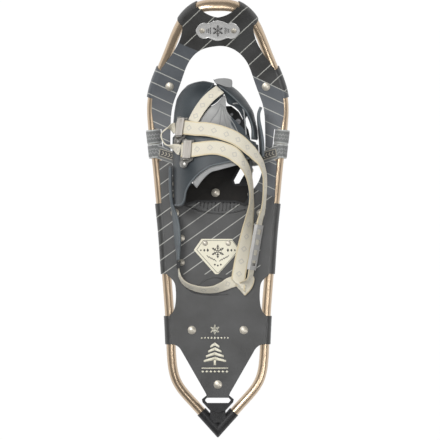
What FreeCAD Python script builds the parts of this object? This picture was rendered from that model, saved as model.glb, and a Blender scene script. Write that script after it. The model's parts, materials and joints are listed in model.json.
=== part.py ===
"""One women's recreational snowshoe: bent tube frame, wrapped deck and a sprung toe binding.

Millimetres. +Y points to the upturned nose, +Z up, +X to the wearer's right.
The origin is under the middle of the snowshoe, on the ground that the crampon teeth touch.
"""
import FreeCAD, Part
import math
import os

from FreeCAD import Vector, Placement, Rotation, Matrix

DOC = FreeCAD.newDocument("Snowshoe")

# ---------------------------------------------------------------- driving sizes
SIZES = [
    ("tube_wide", 12.7, "frame tube, across"),
    ("tube_tall", 19.0, "frame tube, upright"),
    ("tube_wall", 1.2, "frame tube wall"),
    ("axis_height", 26.0, "tube centre above the ground"),
    ("bend_start", 130.0, "Y where the nose starts to rise"),
    ("bend_radius", 217.0, "radius of the nose rise at the tube centre"),
    ("deck_thick", 1.2, "deck sheet"),
    ("deck_gap", 0.2, "deck above the tube"),
    ("wrap_thick", 1.3, "deck tab wrapped round the tube"),
    ("nose_plate_thick", 1.6, "emblem plate on the nose"),
    ("badge_thick", 1.6, "badge plate behind the binding"),
    ("cap_wall", 1.1, "tail cap round the tube"),
    ("cap_plate_thick", 6.0, "tail cap tongue and hanging loop"),
    ("strap_thick", 1.5, "suspension strap"),
    ("web_wide", 19.0, "binding webbing, width"),
    ("web_thick", 1.7, "binding webbing, thickness"),
    ("plate_height", 39.2, "underside of the binding base plate"),
    ("plate_thick", 2.6, "binding base plate"),
    ("pad_thick", 1.6, "footbed pad"),
    ("rib_thick", 1.4, "ribs on the footbed pad"),
    ("pivot_y", 79.0, "Y of the binding pivot"),
    ("pivot_height", 38.2, "height of the binding pivot"),
    ("blade_thick", 2.2, "crampon sheet"),
    ("rivet_head", 5.6, "deck rivet head radius"),
    ("small_head", 3.6, "small rivet head radius"),
    ("foot_shift", -3.0, "binding centre, X"),
    ("lever_wide", 11.0, "buckle lever, along the webbing"),
    ("lever_long", 23.0, "buckle lever, across the webbing"),
    ("lever_thick", 3.2, "buckle lever"),
    ("buckle_floor", 1.4, "buckle base plate"),
    ("ear_thick", 1.6, "buckle ears"),
    ("ear_tall", 8.0, "buckle ears above the floor"),
    ("pin_radius", 1.5, "buckle pin"),
    ("slider_long", 61.0, "strap slider, length"),
    ("slider_wide", 23.0, "strap slider, width"),
    ("slider_thick", 4.2, "strap slider, depth"),
    ("loop_long", 9.0, "heel loop, along the strap"),
    ("loop_wide", 22.0, "heel loop, upright"),
    ("loop_thick", 5.0, "heel loop, depth"),
]

SHEET = DOC.addObject("Spreadsheet::Sheet", "Sizes")
for row, (alias, number, note) in enumerate(SIZES, start=1):
    SHEET.set("A%d" % row, note)
    SHEET.set("B%d" % row, str(number))
    SHEET.setAlias("B%d" % row, alias)
DOC.recompute()
SIZE = {alias: float(SHEET.get(alias)) for alias, number, note in SIZES}

NODES = []
RIGHT = Vector(1, 0, 0)
AHEAD = Vector(0, 1, 0)
UP = Vector(0, 0, 1)


# ---------------------------------------------------------------- document helpers
def keep(obj, label):
    """Name a sub-part's object after its file and list it for export."""
    obj.Label = label
    NODES.append(obj)
    return obj


def feature(label, shape):
    """A sub-part whose free-form shape comes from Part's own functions."""
    obj = DOC.addObject("Part::Feature", label)
    obj.Shape = shape
    obj.Placement = shape.Placement
    return keep(obj, label)


def origin_plane(body, role):
    for item in body.Origin.OriginFeatures:
        if item.Role == role:
            return item
    raise ValueError(role)


def sketch(body, role, loops, offset=0.0):
    """A sketch of closed loops: a loop is a list of corners, or (x, y, radius) for a circle."""
    drawn = body.newObject("Sketcher::SketchObject", "Sketch")
    drawn.AttachmentSupport = [(origin_plane(body, role), "")]
    drawn.MapMode = "FlatFace"
    drawn.AttachmentOffset = Placement(Vector(0, 0, offset), Rotation())
    for loop in loops:
        if isinstance(loop, tuple):
            centre = Vector(loop[0], loop[1], 0)
            drawn.addGeometry(Part.Circle(centre, UP, loop[2]))
            continue
        for (ax, ay), (bx, by) in zip(loop, loop[1:] + loop[:1]):
            drawn.addGeometry(Part.LineSegment(Vector(ax, ay, 0), Vector(bx, by, 0)))
    return drawn


def pad(body, role, loops, alias, offset=0.0, both_ways=False):
    """Pad loops by a length read from the sheet."""
    made = body.newObject("PartDesign::Pad", "Pad")
    made.Profile = sketch(body, role, loops, offset)
    made.setExpression("Length", "Sizes." + alias)
    made.Midplane = both_ways
    DOC.recompute()
    return made


def mirrored(body, first, role):
    """Mirror one pad over an origin plane of its body."""
    made = body.newObject("PartDesign::Mirrored", "Mirrored")
    made.Originals = [first]
    made.MirrorPlane = (origin_plane(body, role), [""])
    body.Tip = made
    DOC.recompute()
    return made


def new_body(label):
    return keep(DOC.addObject("PartDesign::Body", label), label)


# ---------------------------------------------------------------- plan outlines
def stretch(points):
    """One stretch of an outline: a line for two points, a smooth curve for more."""
    corners = [Vector(x, y, 0) for x, y in points]
    if len(corners) == 2:
        return Part.LineSegment(corners[0], corners[1]).toShape()
    curve = Part.BSplineCurve()
    curve.interpolate(corners)
    return curve.toShape()


def flip(points):
    return [(-x, y) for x, y in points]


def prism(stretches, tall=220.0, low=-60.0):
    """A tall block with the plan outline made by stretches laid end to end."""
    edges = [stretch(points) for points in stretches]
    wire = Part.Wire(Part.__sortEdges__(edges))
    block = Part.Face(wire).extrude(Vector(0, 0, tall))
    block.translate(Vector(0, 0, low))
    return block


def both_sides(half):
    """The right half's stretches and their mirror images."""
    return half + [flip(points) for points in half]


def polygon_prism(corners, tall=220.0, low=-60.0):
    sides = list(zip(corners, corners[1:] + corners[:1]))
    return prism([list(side) for side in sides], tall, low)


def mirror_x(shape):
    return shape.mirror(Vector(0, 0, 0), RIGHT)


# ---------------------------------------------------------------- the frame's curved surface
def nose_angle(y, level=0.0):
    """Slope of the frame's surface at y, for a sheet that lies level above the tube's centre."""
    ahead = max(0.0, y - SIZE["bend_start"])
    return math.asin(min(0.98, ahead / (SIZE["bend_radius"] - level)))


def surface_point(x, y, level=0.0):
    angle = nose_angle(y, level)
    radius = SIZE["bend_radius"] - level
    rise = radius * (1.0 - math.cos(angle))
    return Vector(x, y, SIZE["axis_height"] + level + rise)


def surface_normal(y, level=0.0):
    angle = nose_angle(y, level)
    return Vector(0, -math.sin(angle), math.cos(angle))


def curved_sheet(low, high, tail=-300.0, half_wide=125.0):
    """A sheet between two levels above the tube's centre, flat and then rising at the nose."""
    last = math.radians(58.0)
    start = SIZE["bend_start"]
    centre_z = SIZE["axis_height"] + SIZE["bend_radius"]

    def on_arc(level, angle):
        radius = SIZE["bend_radius"] - level
        return Vector(-half_wide, start + radius * math.sin(angle), centre_z - radius * math.cos(angle))

    def bottom(y, level):
        return Vector(-half_wide, y, SIZE["axis_height"] + level)

    edges = [
        Part.LineSegment(bottom(tail, low), bottom(start, low)).toShape(),
        Part.Arc(on_arc(low, 0), on_arc(low, last / 2), on_arc(low, last)).toShape(),
        Part.LineSegment(on_arc(low, last), on_arc(high, last)).toShape(),
        Part.Arc(on_arc(high, last), on_arc(high, last / 2), on_arc(high, 0)).toShape(),
        Part.LineSegment(bottom(start, high), bottom(tail, high)).toShape(),
        Part.LineSegment(bottom(tail, high), bottom(tail, low)).toShape(),
    ]
    return Part.Face(Part.Wire(edges)).extrude(Vector(2 * half_wide, 0, 0))


# ---------------------------------------------------------------- the tube's path
# Right half of the tube's centreline in plan, from the nose to the end inside the tail cap.
RAIL_HALF = [
    (24.4, 281.0), (43.7, 267.5), (56.4, 246.2), (67.0, 220.6), (76.1, 199.5), (84.6, 177.1),
    (88.6, 155.0), (88.4, 136.0), (82.1, 78.6), (77.0, 26.3), (72.7, -16.5), (69.0, -70.2),
    (65.1, -122.4), (63.0, -165.0), (61.4, -192.0), (56.6, -214.0), (47.5, -229.5),
    (37.0, -241.5), (24.5, -255.2), (12.0, -268.9),
]
NOSE_POINT = (0.0, 283.6)


def rail_curve():
    points = list(reversed(flip(RAIL_HALF))) + [NOSE_POINT] + RAIL_HALF
    places = [Vector(x, y, 0) for x, y in points]
    reached = [0.0]
    for a, b in zip(places, places[1:]):
        reached.append(reached[-1] + a.distanceToPoint(b))
    curve = Part.BSplineCurve()
    curve.interpolate(Points=places, Parameters=reached)
    return curve


RAIL = rail_curve()
RAIL_MIDDLE = RAIL.parameter(Vector(NOSE_POINT[0], NOSE_POINT[1], 0))
RAIL_END = RAIL.LastParameter


def rail_at(y):
    """The rail's parameter on the right side where it passes y."""
    low, high = RAIL_MIDDLE, RAIL_END
    for step in range(40):
        middle = (low + high) / 2
        if RAIL.value(middle).y > y:
            low = middle
        else:
            high = middle
    return low


def rail_section(parameter, half_wide, half_tall):
    """An upright ellipse across the tube's path, leaning with the nose."""
    plan = RAIL.value(parameter)
    along = RAIL.tangent(parameter)[0]
    centre = surface_point(plan.x, plan.y)
    normal = surface_normal(plan.y)
    ahead = Vector(along.x, along.y, along.y * math.tan(nose_angle(plan.y)))
    ahead.normalize()
    side = normal.cross(ahead)
    side.normalize()
    ellipse = Part.Ellipse(centre + normal * half_tall, centre + side * half_wide, centre)
    return Part.Wire([ellipse.toShape()])


def rail_loft(first, last, count, extra):
    """The tube's outer shape grown by extra, between two parameters."""
    half_wide = SIZE["tube_wide"] / 2 + extra
    half_tall = SIZE["tube_tall"] / 2 + extra
    wires = []
    for index in range(count + 1):
        parameter = first + (last - first) * index / count
        wires.append(rail_section(parameter, half_wide, half_tall))
    return Part.makeLoft(wires, True, False)


def rail_ring(y_front, y_back, inner, outer, count=6):
    """A closed wrap round the right rail between two Y values."""
    first, last = rail_at(y_front), rail_at(y_back)
    reach = (last - first) * 0.04
    core = rail_loft(first - reach, last + reach, count, inner)
    return rail_loft(first, last, count, outer).cut(core)


# ---------------------------------------------------------------- frame tube and tail cap
TUBE_SECTIONS = 48
TUBE_STEP = (RAIL_END - RAIL_MIDDLE) / 44
RIGHT_SIDE = Part.makeBox(200, 800, 300, Vector(0, -400, -100))


def right_rail(extra, beyond=0.0):
    """The tube's right half grown by extra, starting on the middle plane of the nose."""
    start = RAIL_MIDDLE - 4 * TUBE_STEP
    return rail_loft(start, RAIL_END + beyond, TUBE_SECTIONS, extra).common(RIGHT_SIDE)


TUBE_ENVELOPE = right_rail(0.12)
TUBE_ENVELOPE = [TUBE_ENVELOPE, mirror_x(TUBE_ENVELOPE)]


def frame_tube():
    """The bent tube, open at both ends inside the tail cap."""
    half = right_rail(0.0).cut(right_rail(-SIZE["tube_wall"], TUBE_STEP * 0.1))
    return half.fuse(mirror_x(half)).removeSplitter()


def tail_cap():
    """Black moulded cap: a V over both tube ends, a hanging slot and a tongue under the deck."""
    half_wide = SIZE["tube_wide"] / 2 + SIZE["cap_wall"]
    half_tall = SIZE["tube_tall"] / 2 + SIZE["cap_wall"]
    first = rail_at(-258.0)
    wires = [rail_section(first + (RAIL_END - first) * index / 3, half_wide, half_tall)
             for index in range(4)]
    arm = Part.makeLoft(wires, True, False)
    end = RAIL.value(RAIL_END)
    along = RAIL.tangent(RAIL_END)[0]
    reach = (end.x + 6.0) / -along.x
    shift = Vector(along.x * reach, along.y * reach, 0)
    tip_wire = wires[-1].copy()
    tip_wire.translate(shift)
    arm = arm.fuse(Part.makeLoft([wires[-1], tip_wire], True, True))
    right_half = Part.makeBox(60, 120, 80, Vector(0, -320, 0))
    arm = arm.common(right_half)
    shell = arm.fuse(mirror_x(arm))

    top = SIZE["axis_height"] + SIZE["tube_tall"] / 2
    edge = [(10.5, -212.0), (13.7, -234.7), (21.4, -241.0), (20.6, -244.8), (10.4, -256.0), (10.4, -272.0)]
    corners = edge + list(reversed(flip(edge)))
    tongue = polygon_prism(corners, SIZE["cap_plate_thick"], top - SIZE["cap_plate_thick"])
    slot_edge = [(14.5, -238.8), (17.2, -241.8), (16.2, -244.0), (14.0, -246.0)]
    slot = polygon_prism(slot_edge + list(reversed(flip(slot_edge))))
    groove = polygon_prism([(9.0, -256.0), (0.0, -266.5), (-9.0, -256.0), (0.0, -259.0)], 40.0, top - 2.0)

    body = shell.fuse(tongue).cut(slot).cut(groove)
    body = body.cut(TUBE_ENVELOPE)
    nose_trim = Part.makeBox(120, 200, 120, Vector(-60, -292.2, -20))
    return body.common(nose_trim).removeSplitter()


feature("frame_tube", frame_tube())
feature("tail_cap", tail_cap())

# ---------------------------------------------------------------- deck
DECK_LOW = SIZE["tube_tall"] / 2 + SIZE["deck_gap"]
DECK_HIGH = DECK_LOW + SIZE["deck_thick"]
DECK_TOP = SIZE["axis_height"] + DECK_HIGH

FRONT_EDGE = [(0.0, 267.3), (13.0, 271.0), (26.0, 280.4)]
NOSE_TAB = [(26.0, 280.4), (36.5, 275.0), (46.5, 263.0)]
NOSE_CUTOUT = [(46.5, 263.0), (47.5, 250.0), (51.0, 238.0), (57.5, 226.0), (65.5, 214.5), (75.5, 202.0)]
FRONT_TAB = [(75.5, 202.0), (82.0, 184.0), (87.6, 164.0)]
FRONT_EDGE_LOW = [(87.6, 164.0), (88.6, 152.0), (84.6, 122.0)]
STRAP_NOTCH = [(84.6, 122.0), (75.6, 121.0), (71.6, 80.0), (79.0, 79.0)]
MIDDLE_EDGE = [(79.0, 79.0), (75.6, 22.0)]
MIDDLE_TAB = [(75.6, 22.0), (69.0, -72.5)]
WAIST = [(69.0, -72.5), (64.0, -77.5), (59.0, -83.0), (56.4, -94.0), (56.4, -109.0), (58.5, -120.0),
         (65.0, -129.0)]
REAR_TAB = [(65.0, -129.0), (63.2, -167.0)]
TAIL_SHOULDER = [(63.2, -167.0), (56.0, -168.5), (49.5, -174.5)]
TAIL_EDGE = [(49.5, -174.5), (16.0, -233.0), (14.5, -238.4), (0.0, -238.4)]

TOE_HOLE = [(0.0, 231.0), (25.0, 224.5), (38.0, 211.5), (46.5, 192.0), (54.0, 171.0), (60.4, 153.0),
            (62.8, 137.0), (63.4, 118.0), (63.2, 92.0), (60.5, 72.0), (54.0, 50.0), (42.0, 37.0),
            (25.0, 34.5), (0.0, 34.0)]

WRAPS = [(280.4, 263.5), (202.0, 164.0), (22.0, -72.5), (-129.0, -167.0)]


def runs(points):
    """Straight stretches between the corners of one edge."""
    return [[a, b] for a, b in zip(points, points[1:])]


def closed_curve(half):
    """A smooth closed outline from its right half, which starts and ends on the middle line."""
    loop = half + list(reversed(flip(half)))[1:-1]
    curve = Part.BSplineCurve()
    curve.interpolate([Vector(x, y, 0) for x, y in loop], PeriodicFlag=True)
    block = Part.Face(Part.Wire([curve.toShape()])).extrude(Vector(0, 0, 280))
    block.translate(Vector(0, 0, -60))
    return block


def deck():
    half = [FRONT_EDGE, NOSE_TAB, NOSE_CUTOUT, FRONT_TAB, FRONT_EDGE_LOW]
    half += runs(STRAP_NOTCH) + [MIDDLE_EDGE, MIDDLE_TAB, WAIST, REAR_TAB, TAIL_SHOULDER]
    half += runs(TAIL_EDGE)
    sheet = curved_sheet(DECK_LOW, DECK_HIGH).common(prism(both_sides(half), 280.0))
    sheet = sheet.cut(closed_curve(TOE_HOLE))
    wraps = []
    for y_front, y_back in WRAPS:
        count = 10 if y_front > 150 else 5
        ring = rail_ring(y_front, y_back, 0.3, 0.3 + SIZE["wrap_thick"], count)
        wraps += [ring, mirror_x(ring)]
    flap = curved_sheet(DECK_LOW - 1.3, DECK_LOW + 0.3)
    flaps = [
        [(54.0, 190.0), (69.0, 190.0), (74.5, 171.0), (56.0, 168.0)],
        [(50.0, 18.0), (66.5, 18.0), (64.0, -16.0), (50.0, -16.0)],
        [(26.0, -134.0), (54.5, -134.0), (53.0, -162.0), (26.0, -162.0)],
    ]
    for corners in flaps:
        piece = flap.common(polygon_prism(corners, 280.0))
        wraps += [piece, mirror_x(piece)]
    return sheet.fuse(wraps).cut(TUBE_ENVELOPE).removeSplitter()


feature("deck", deck())


# ---------------------------------------------------------------- rivets
def rivet(point, normal, head_radius, grip, tail_radius=None):
    """A domed rivet: point is on the top face, normal points out, grip is the stack it holds."""
    dome = head_radius * 0.34
    rim = 0.6
    tail = tail_radius or head_radius * 0.75
    ball_radius = (head_radius ** 2 + dome ** 2) / (2 * dome)
    ball = Part.makeSphere(ball_radius, Vector(0, 0, rim + dome - ball_radius))
    head = Part.makeCylinder(head_radius, rim + dome + 1.0, Vector(0, 0, 0.05)).common(ball)
    shank = Part.makeCylinder(head_radius * 0.42, grip + 0.3, Vector(0, 0, -grip - 0.1))
    foot = Part.makeCylinder(tail, 1.2, Vector(0, 0, -grip - 1.2))
    solid = head.fuse([shank, foot])
    solid.Placement = Placement(point, Rotation(UP, normal))
    return solid


def deck_rivet(x, y, grip, head):
    return rivet(surface_point(x, y, DECK_HIGH), surface_normal(y, DECK_HIGH), head, grip)


TAB_GRIP = SIZE["deck_thick"] + 1.35
TAB_RIVETS = [(64.5, 178.0), (57.5, 9.0), (34.7, -148.0)]
rivets = [deck_rivet(side * x, y, TAB_GRIP, SIZE["rivet_head"]) for x, y in TAB_RIVETS for side in (-1, 1)]
CAP_GRIP = SIZE["deck_thick"] + 0.25 + SIZE["cap_plate_thick"]
rivets.append(deck_rivet(0.0, -221.0, CAP_GRIP, SIZE["rivet_head"]))
feature("deck_rivets", Part.makeCompound(rivets))

# ---------------------------------------------------------------- nose plate and badge
PLATE_HALF = [
    [(0.0, 264.6), (5.0, 260.0), (11.0, 258.6)],
    [(11.0, 258.6), (18.5, 261.0), (25.0, 257.0)],
    [(25.0, 257.0), (29.6, 250.4), (25.0, 243.8)],
    [(25.0, 243.8), (18.5, 239.8), (11.0, 242.2)],
    [(11.0, 242.2), (5.0, 240.8), (0.0, 236.4)],
]


def nose_plate():
    low = DECK_HIGH + 0.05
    return curved_sheet(low, low + SIZE["nose_plate_thick"]).common(prism(both_sides(PLATE_HALF), 280.0))


feature("nose_plate", nose_plate())
plate_top = DECK_HIGH + 0.05 + SIZE["nose_plate_thick"]
plate_grip = SIZE["nose_plate_thick"] + SIZE["deck_thick"] + 0.1
feature("nose_plate_rivets", Part.makeCompound([
    rivet(surface_point(side * 21.0, 250.4, plate_top), surface_normal(250.4, plate_top),
          SIZE["small_head"], plate_grip) for side in (-1, 1)]))

BADGE = [(-20.3, -25.8), (20.3, -25.8), (30.8, -40.7), (2.0, -73.0), (-2.0, -73.0), (-30.8, -40.7)]
badge = new_body("badge")
pad(badge, "XY_Plane", [BADGE], "badge_thick")
badge.Placement = Placement(Vector(-1.5, 0, DECK_TOP + 0.05), Rotation())
badge_top = DECK_TOP + 0.05 + SIZE["badge_thick"]
badge_grip = SIZE["badge_thick"] + SIZE["deck_thick"] + 0.1
feature("badge_rivets", Part.makeCompound([
    rivet(Vector(side * 15.5 - 1.5, -31.5, badge_top), UP, SIZE["small_head"], badge_grip)
    for side in (-1, 1)]))

# ---------------------------------------------------------------- heel crampon
HEEL_X = 43.0
UNDER_DECK = SIZE["axis_height"] + DECK_LOW - 0.1


def saw(start, tips, top, root, step):
    """An upright blade's side outline: straight top, teeth below with their points at height 0."""
    outline = [(start, top)]
    for index in range(tips):
        y = start - step * index
        outline += [(y - step * 0.12, root), (y - step * 0.5, 0.0), (y - step * 0.62, 0.0),
                    (y - step * 0.96, root)]
    outline.append((start - step * tips, top))
    return outline


heel_crampon = new_body("heel_crampon")
blade = pad(heel_crampon, "YZ_Plane", [saw(-18.0, 2, UNDER_DECK, 17.0, 24.0)], "blade_thick", HEEL_X)
mirrored(heel_crampon, blade, "YZ_Plane")
flange = [(-53.5, -18.0), (-53.5, -66.0), (-41.0, -66.0), (-41.0, -50.0), (41.0, -50.0), (41.0, -66.0),
          (53.5, -66.0), (53.5, -18.0), (41.0, -18.0), (41.0, -36.0), (-41.0, -36.0), (-41.0, -18.0)]
pad(heel_crampon, "XY_Plane", [flange], "blade_thick", UNDER_DECK - SIZE["blade_thick"])
HEEL_GRIP = SIZE["deck_thick"] + SIZE["blade_thick"] + 0.15
feature("heel_crampon_rivets", Part.makeCompound([
    deck_rivet(side * 48.6, y, HEEL_GRIP, SIZE["rivet_head"] * 0.78)
    for side in (-1, 1) for y in (-24.6, -57.4)]))


# ---------------------------------------------------------------- suspension straps
def suspension_strap():
    """Right strap: wraps the tube twice and runs inboard over the deck to the base plate."""
    inner = SIZE["deck_gap"] + SIZE["deck_thick"] + 0.35
    outer = inner + SIZE["strap_thick"]
    ring = rail_ring(120.0, 102.2, inner, outer, 3).fuse(rail_ring(101.6, 83.4, inner, outer, 3))
    top = SIZE["axis_height"] + SIZE["tube_tall"] / 2 + inner
    arm = polygon_prism([(86.0, 101.4), (86.0, 83.6), (78.0, 80.9), (52.0, 71.6), (34.0, 71.6),
                         (34.0, 86.8), (52.0, 87.4), (74.0, 97.6)], SIZE["strap_thick"], top)
    bridge = polygon_prism([(90.0, 102.8), (90.0, 101.2), (84.0, 101.2), (84.0, 102.8)], 1.2, top)
    hole = Part.makeCylinder(2.0, 20.0, Vector(PLATE_RIVET_X, SIZE["pivot_y"], 30.0))
    return ring.fuse([arm, bridge]).removeSplitter().cut(hole)


PLATE_RIVET_X = 40.0
strap = suspension_strap()
feature("suspension_strap_right", strap)
feature("suspension_strap_left", mirror_x(strap))

# ---------------------------------------------------------------- binding base
PLATE_LOW = SIZE["plate_height"]
PLATE_TOP = PLATE_LOW + SIZE["plate_thick"]
PAD_TOP = PLATE_TOP + SIZE["pad_thick"]
SHIFT = SIZE["foot_shift"]

PLATE_SIDE = [(21.0, 152.0), (31.0, 144.0), (44.0, 120.0), (46.5, 108.0), (46.5, 30.0), (44.0, 22.0),
              (38.0, 19.0), (26.0, 23.5)]
VIEW_SLOT = [(26.0, 48.0), (31.5, 48.5), (41.5, 66.0), (38.0, 70.5), (33.5, 69.0), (24.5, 52.5)]

base_plate = new_body("base_plate")
pad(base_plate, "XY_Plane", [
    PLATE_SIDE + list(reversed(flip(PLATE_SIDE))),
    VIEW_SLOT,
    list(reversed(flip(VIEW_SLOT))),
    (21.8, 141.0, 1.8),
    (-21.8, 141.0, 1.8),
    (30.0, 131.5, 3.6),
    (-30.0, 131.5, 3.6),
], "plate_thick")
base_plate.Placement = Placement(Vector(SHIFT, 0, PLATE_LOW), Rotation())

footbed = new_body("footbed")
PAD_SIDE = [(34.0, 116.0), (43.5, 106.0), (43.5, 72.0), (31.0, 72.0), (21.0, 53.0), (25.0, 45.0),
            (43.5, 45.0), (43.5, 31.0), (38.0, 22.5), (26.0, 26.0)]
pad(footbed, "XY_Plane", [PAD_SIDE + list(reversed(flip(PAD_SIDE)))], "pad_thick")
RIB_RIGHT = [(1.5, 36.0), (6.0, 36.0), (19.0, 61.0), (14.0, 61.0)]
rib = pad(footbed, "XY_Plane", [RIB_RIGHT], "rib_thick", SIZE["pad_thick"])
mirrored(footbed, rib, "YZ_Plane")
pad(footbed, "XY_Plane", [[(-9.0, 58.0), (9.0, 58.0), (9.0, 62.0), (-9.0, 62.0)]], "rib_thick",
    SIZE["pad_thick"])
for y in (74.0, 86.0, 98.0):
    bar = [(-28.0, y), (28.0, y), (28.0, y + 3.5), (-28.0, y + 3.5)]
    pad(footbed, "XY_Plane", [bar], "rib_thick", SIZE["pad_thick"])
footbed.Placement = Placement(Vector(SHIFT, 0, PLATE_TOP + 0.02), Rotation())

# ---------------------------------------------------------------- toe crampon
toe_crampon = new_body("toe_crampon")
TOE_X = 37.0
toe_blade = pad(toe_crampon, "YZ_Plane",
                [saw(132.0, 2, PLATE_LOW - 0.05, 16.0, 20.5)], "blade_thick", TOE_X)
mirrored(toe_crampon, toe_blade, "YZ_Plane")
flange_z = PLATE_LOW - 0.05 - SIZE["blade_thick"]
pad(toe_crampon, "XY_Plane", [[(39.2, 132.0), (39.2, 90.5), (-39.2, 90.5), (-39.2, 132.0),
                               (-20.0, 148.0), (20.0, 148.0)]], "blade_thick", flange_z)
FRONT_TEETH = [(-22.0, flange_z + 1.0), (-18.0, 14.0), (-13.0, 2.0), (-10.0, 2.0), (-5.0, 15.0),
               (5.0, 15.0), (10.0, 2.0), (13.0, 2.0), (18.0, 14.0), (22.0, flange_z + 1.0)]
pad(toe_crampon, "XZ_Plane", [FRONT_TEETH], "blade_thick", -146.0)
toe_crampon.Placement = Placement(Vector(SHIFT, 0, 0), Rotation())

STACK = SIZE["plate_thick"] + SIZE["blade_thick"] + 0.1
feature("crampon_rivets", Part.makeCompound([
    rivet(Vector(SHIFT + side * x, y, PLATE_TOP), UP, SIZE["small_head"], STACK)
    for side in (-1, 1) for x, y in ((12.0, 138.0), (30.0, 119.5))]))
PAD_STACK = SIZE["pad_thick"] + SIZE["plate_thick"] + 0.1
feature("footbed_rivet", rivet(Vector(SHIFT, 36.0, PAD_TOP + SIZE["rib_thick"] + 0.05), UP,
                               SIZE["rivet_head"], PAD_STACK + SIZE["rib_thick"]))
STRAP_STACK = PAD_TOP + 0.05 - (SIZE["axis_height"] + SIZE["tube_tall"] / 2 + 1.35)
feature("suspension_rivets", Part.makeCompound([
    rivet(Vector(side * PLATE_RIVET_X, SIZE["pivot_y"], PAD_TOP + 0.05), UP,
          SIZE["small_head"] * 0.8, STRAP_STACK)
    for side in (-1, 1)]))


# ---------------------------------------------------------------- the boot-shaped surface
# Middle, half-width and height of the boot that the binding closes on, at stations along Y.
# Its toe swings a little to the left.
BOOT_STATIONS = [
    (10.0, -3.0, 50.0, 66.0), (50.0, -3.0, 51.5, 68.0), (90.0, -3.0, 52.5, 66.0),
    (120.0, -3.6, 51.6, 60.0), (145.0, -5.4, 47.6, 52.0), (162.0, -9.2, 40.5, 45.0),
    (174.0, -11.0, 31.0, 38.0), (183.0, -12.0, 19.0, 30.0), (188.0, -12.5, 8.0, 24.0),
]
BOOT_POWER = 2.5


def boot_size(y):
    """Middle, half-width and height of the boot at y, blended between the stations."""
    if y <= BOOT_STATIONS[0][0]:
        return BOOT_STATIONS[0][1:]
    for first, second in zip(BOOT_STATIONS, BOOT_STATIONS[1:]):
        if y <= second[0]:
            part = (y - first[0]) / (second[0] - first[0])
            return tuple(a + (b - a) * part for a, b in zip(first[1:], second[1:]))
    return BOOT_STATIONS[-1][1:]


def boot_point(x, y, offset):
    """The point above (x, y) on the boot's surface grown by offset."""
    middle, half_wide, tall = boot_size(y)
    part = min(0.999, abs(x - middle) / (half_wide + offset))
    height = (tall + offset) * (1.0 - part ** BOOT_POWER) ** (1.0 / BOOT_POWER)
    return Vector(x, y, PAD_TOP + height)


def boot_normal(x, y, offset):
    step = 0.5
    across = boot_point(x + step, y, offset) - boot_point(x - step, y, offset)
    along = boot_point(x, y + step, offset) - boot_point(x, y - step, offset)
    normal = across.cross(along)
    normal.normalize()
    return normal


def boot_section(y, middle, half_wide, tall, low):
    """One closed cross-section: a boxy arch with straight sides below the footbed."""
    corners = []
    count = 16
    for index in range(count + 1):
        angle = math.pi * index / count
        c, s = math.cos(angle), math.sin(angle)
        power = 2.0 / BOOT_POWER
        x = half_wide * math.copysign(abs(c) ** power, c)
        z = tall * abs(s) ** power
        corners.append(Vector(middle + x, y, PAD_TOP + z))
    arch = Part.BSplineCurve()
    arch.interpolate(corners)
    right, left = corners[0], corners[-1]
    right_low, left_low = Vector(right.x, y, low), Vector(left.x, y, low)
    edges = [
        arch.toShape(),
        Part.LineSegment(left, left_low).toShape(),
        Part.LineSegment(left_low, right_low).toShape(),
        Part.LineSegment(right_low, right).toShape(),
    ]
    return Part.Wire(edges)


def boot_block(offset, low, reach=0.0):
    wires = []
    for index, (y, middle, half_wide, tall) in enumerate(BOOT_STATIONS):
        ends = {0: -reach, len(BOOT_STATIONS) - 1: reach}
        wires.append(boot_section(y + ends.get(index, 0.0), middle, half_wide + offset, tall + offset, low))
    return Part.makeLoft(wires, True, False)


WALL_LOW = PLATE_LOW + 0.2


def boot_shell(inner, outer):
    """A wall round the boot between two offsets, open at both ends and below."""
    return boot_block(outer, WALL_LOW).cut(boot_block(inner, WALL_LOW - 5.0, 3.0))


INNER_LAYER = boot_shell(0.0, 2.0)
OUTER_LAYER = boot_shell(2.4, 4.8)


def closed_outline(stretches):
    return prism(stretches, 220.0, -20.0)


TOE_WING_LEFT = [
    [(-75.0, 115.0), (-75.0, 178.0)], [(-75.0, 178.0), (-42.0, 178.0)],
    [(-42.0, 178.0), (-30.0, 182.5), (-14.0, 184.5), (-5.0, 181.0)],
    [(-5.0, 181.0), (-16.0, 163.0), (-30.0, 143.0), (-38.0, 126.0), (-42.0, 115.0)],
    [(-42.0, 115.0), (-75.0, 115.0)],
]
TOE_WING_RIGHT = [
    [(-6.0, 186.6), (8.0, 183.6), (20.0, 177.6), (34.0, 170.0), (60.0, 150.0)],
    [(60.0, 150.0), (75.0, 118.0)], [(75.0, 118.0), (75.0, 106.0)], [(75.0, 106.0), (44.5, 106.0)],
    [(44.5, 106.0), (44.0, 124.0), (39.0, 137.0), (30.0, 150.0), (14.0, 166.5), (-1.0, 178.0)],
    [(-1.0, 178.0), (-6.0, 186.6)],
]
TOE_LINING = [
    [(-33.0, 138.0), (-29.0, 146.5), (-16.0, 164.5), (-6.0, 178.0), (8.0, 175.0), (22.0, 165.0),
     (34.0, 152.0), (41.0, 138.0)],
    [(41.0, 138.0), (36.5, 131.0)],
    [(36.5, 131.0), (31.5, 142.0), (24.0, 149.5), (14.5, 152.0)],
    [(14.5, 152.0), (12.2, 166.6)], [(12.2, 166.6), (8.0, 165.6)],
    [(8.0, 165.6), (-9.0, 151.8), (-26.6, 134.8)],
    [(-26.6, 134.8), (-33.0, 138.0)],
]
INSTEP_WING = [
    [(10.6, 164.0), (12.0, 145.0), (20.0, 134.5), (34.0, 121.5), (46.5, 103.0)],
    [(46.5, 103.0), (75.0, 103.0)], [(75.0, 103.0), (75.0, 86.0)], [(75.0, 86.0), (0.0, 84.0)],
    [(0.0, 84.0), (-34.0, 92.0)], [(-34.0, 92.0), (-40.0, 122.0)],
    [(-40.0, 122.0), (-26.0, 133.0), (-8.0, 150.0), (10.6, 164.0)],
]
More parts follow.
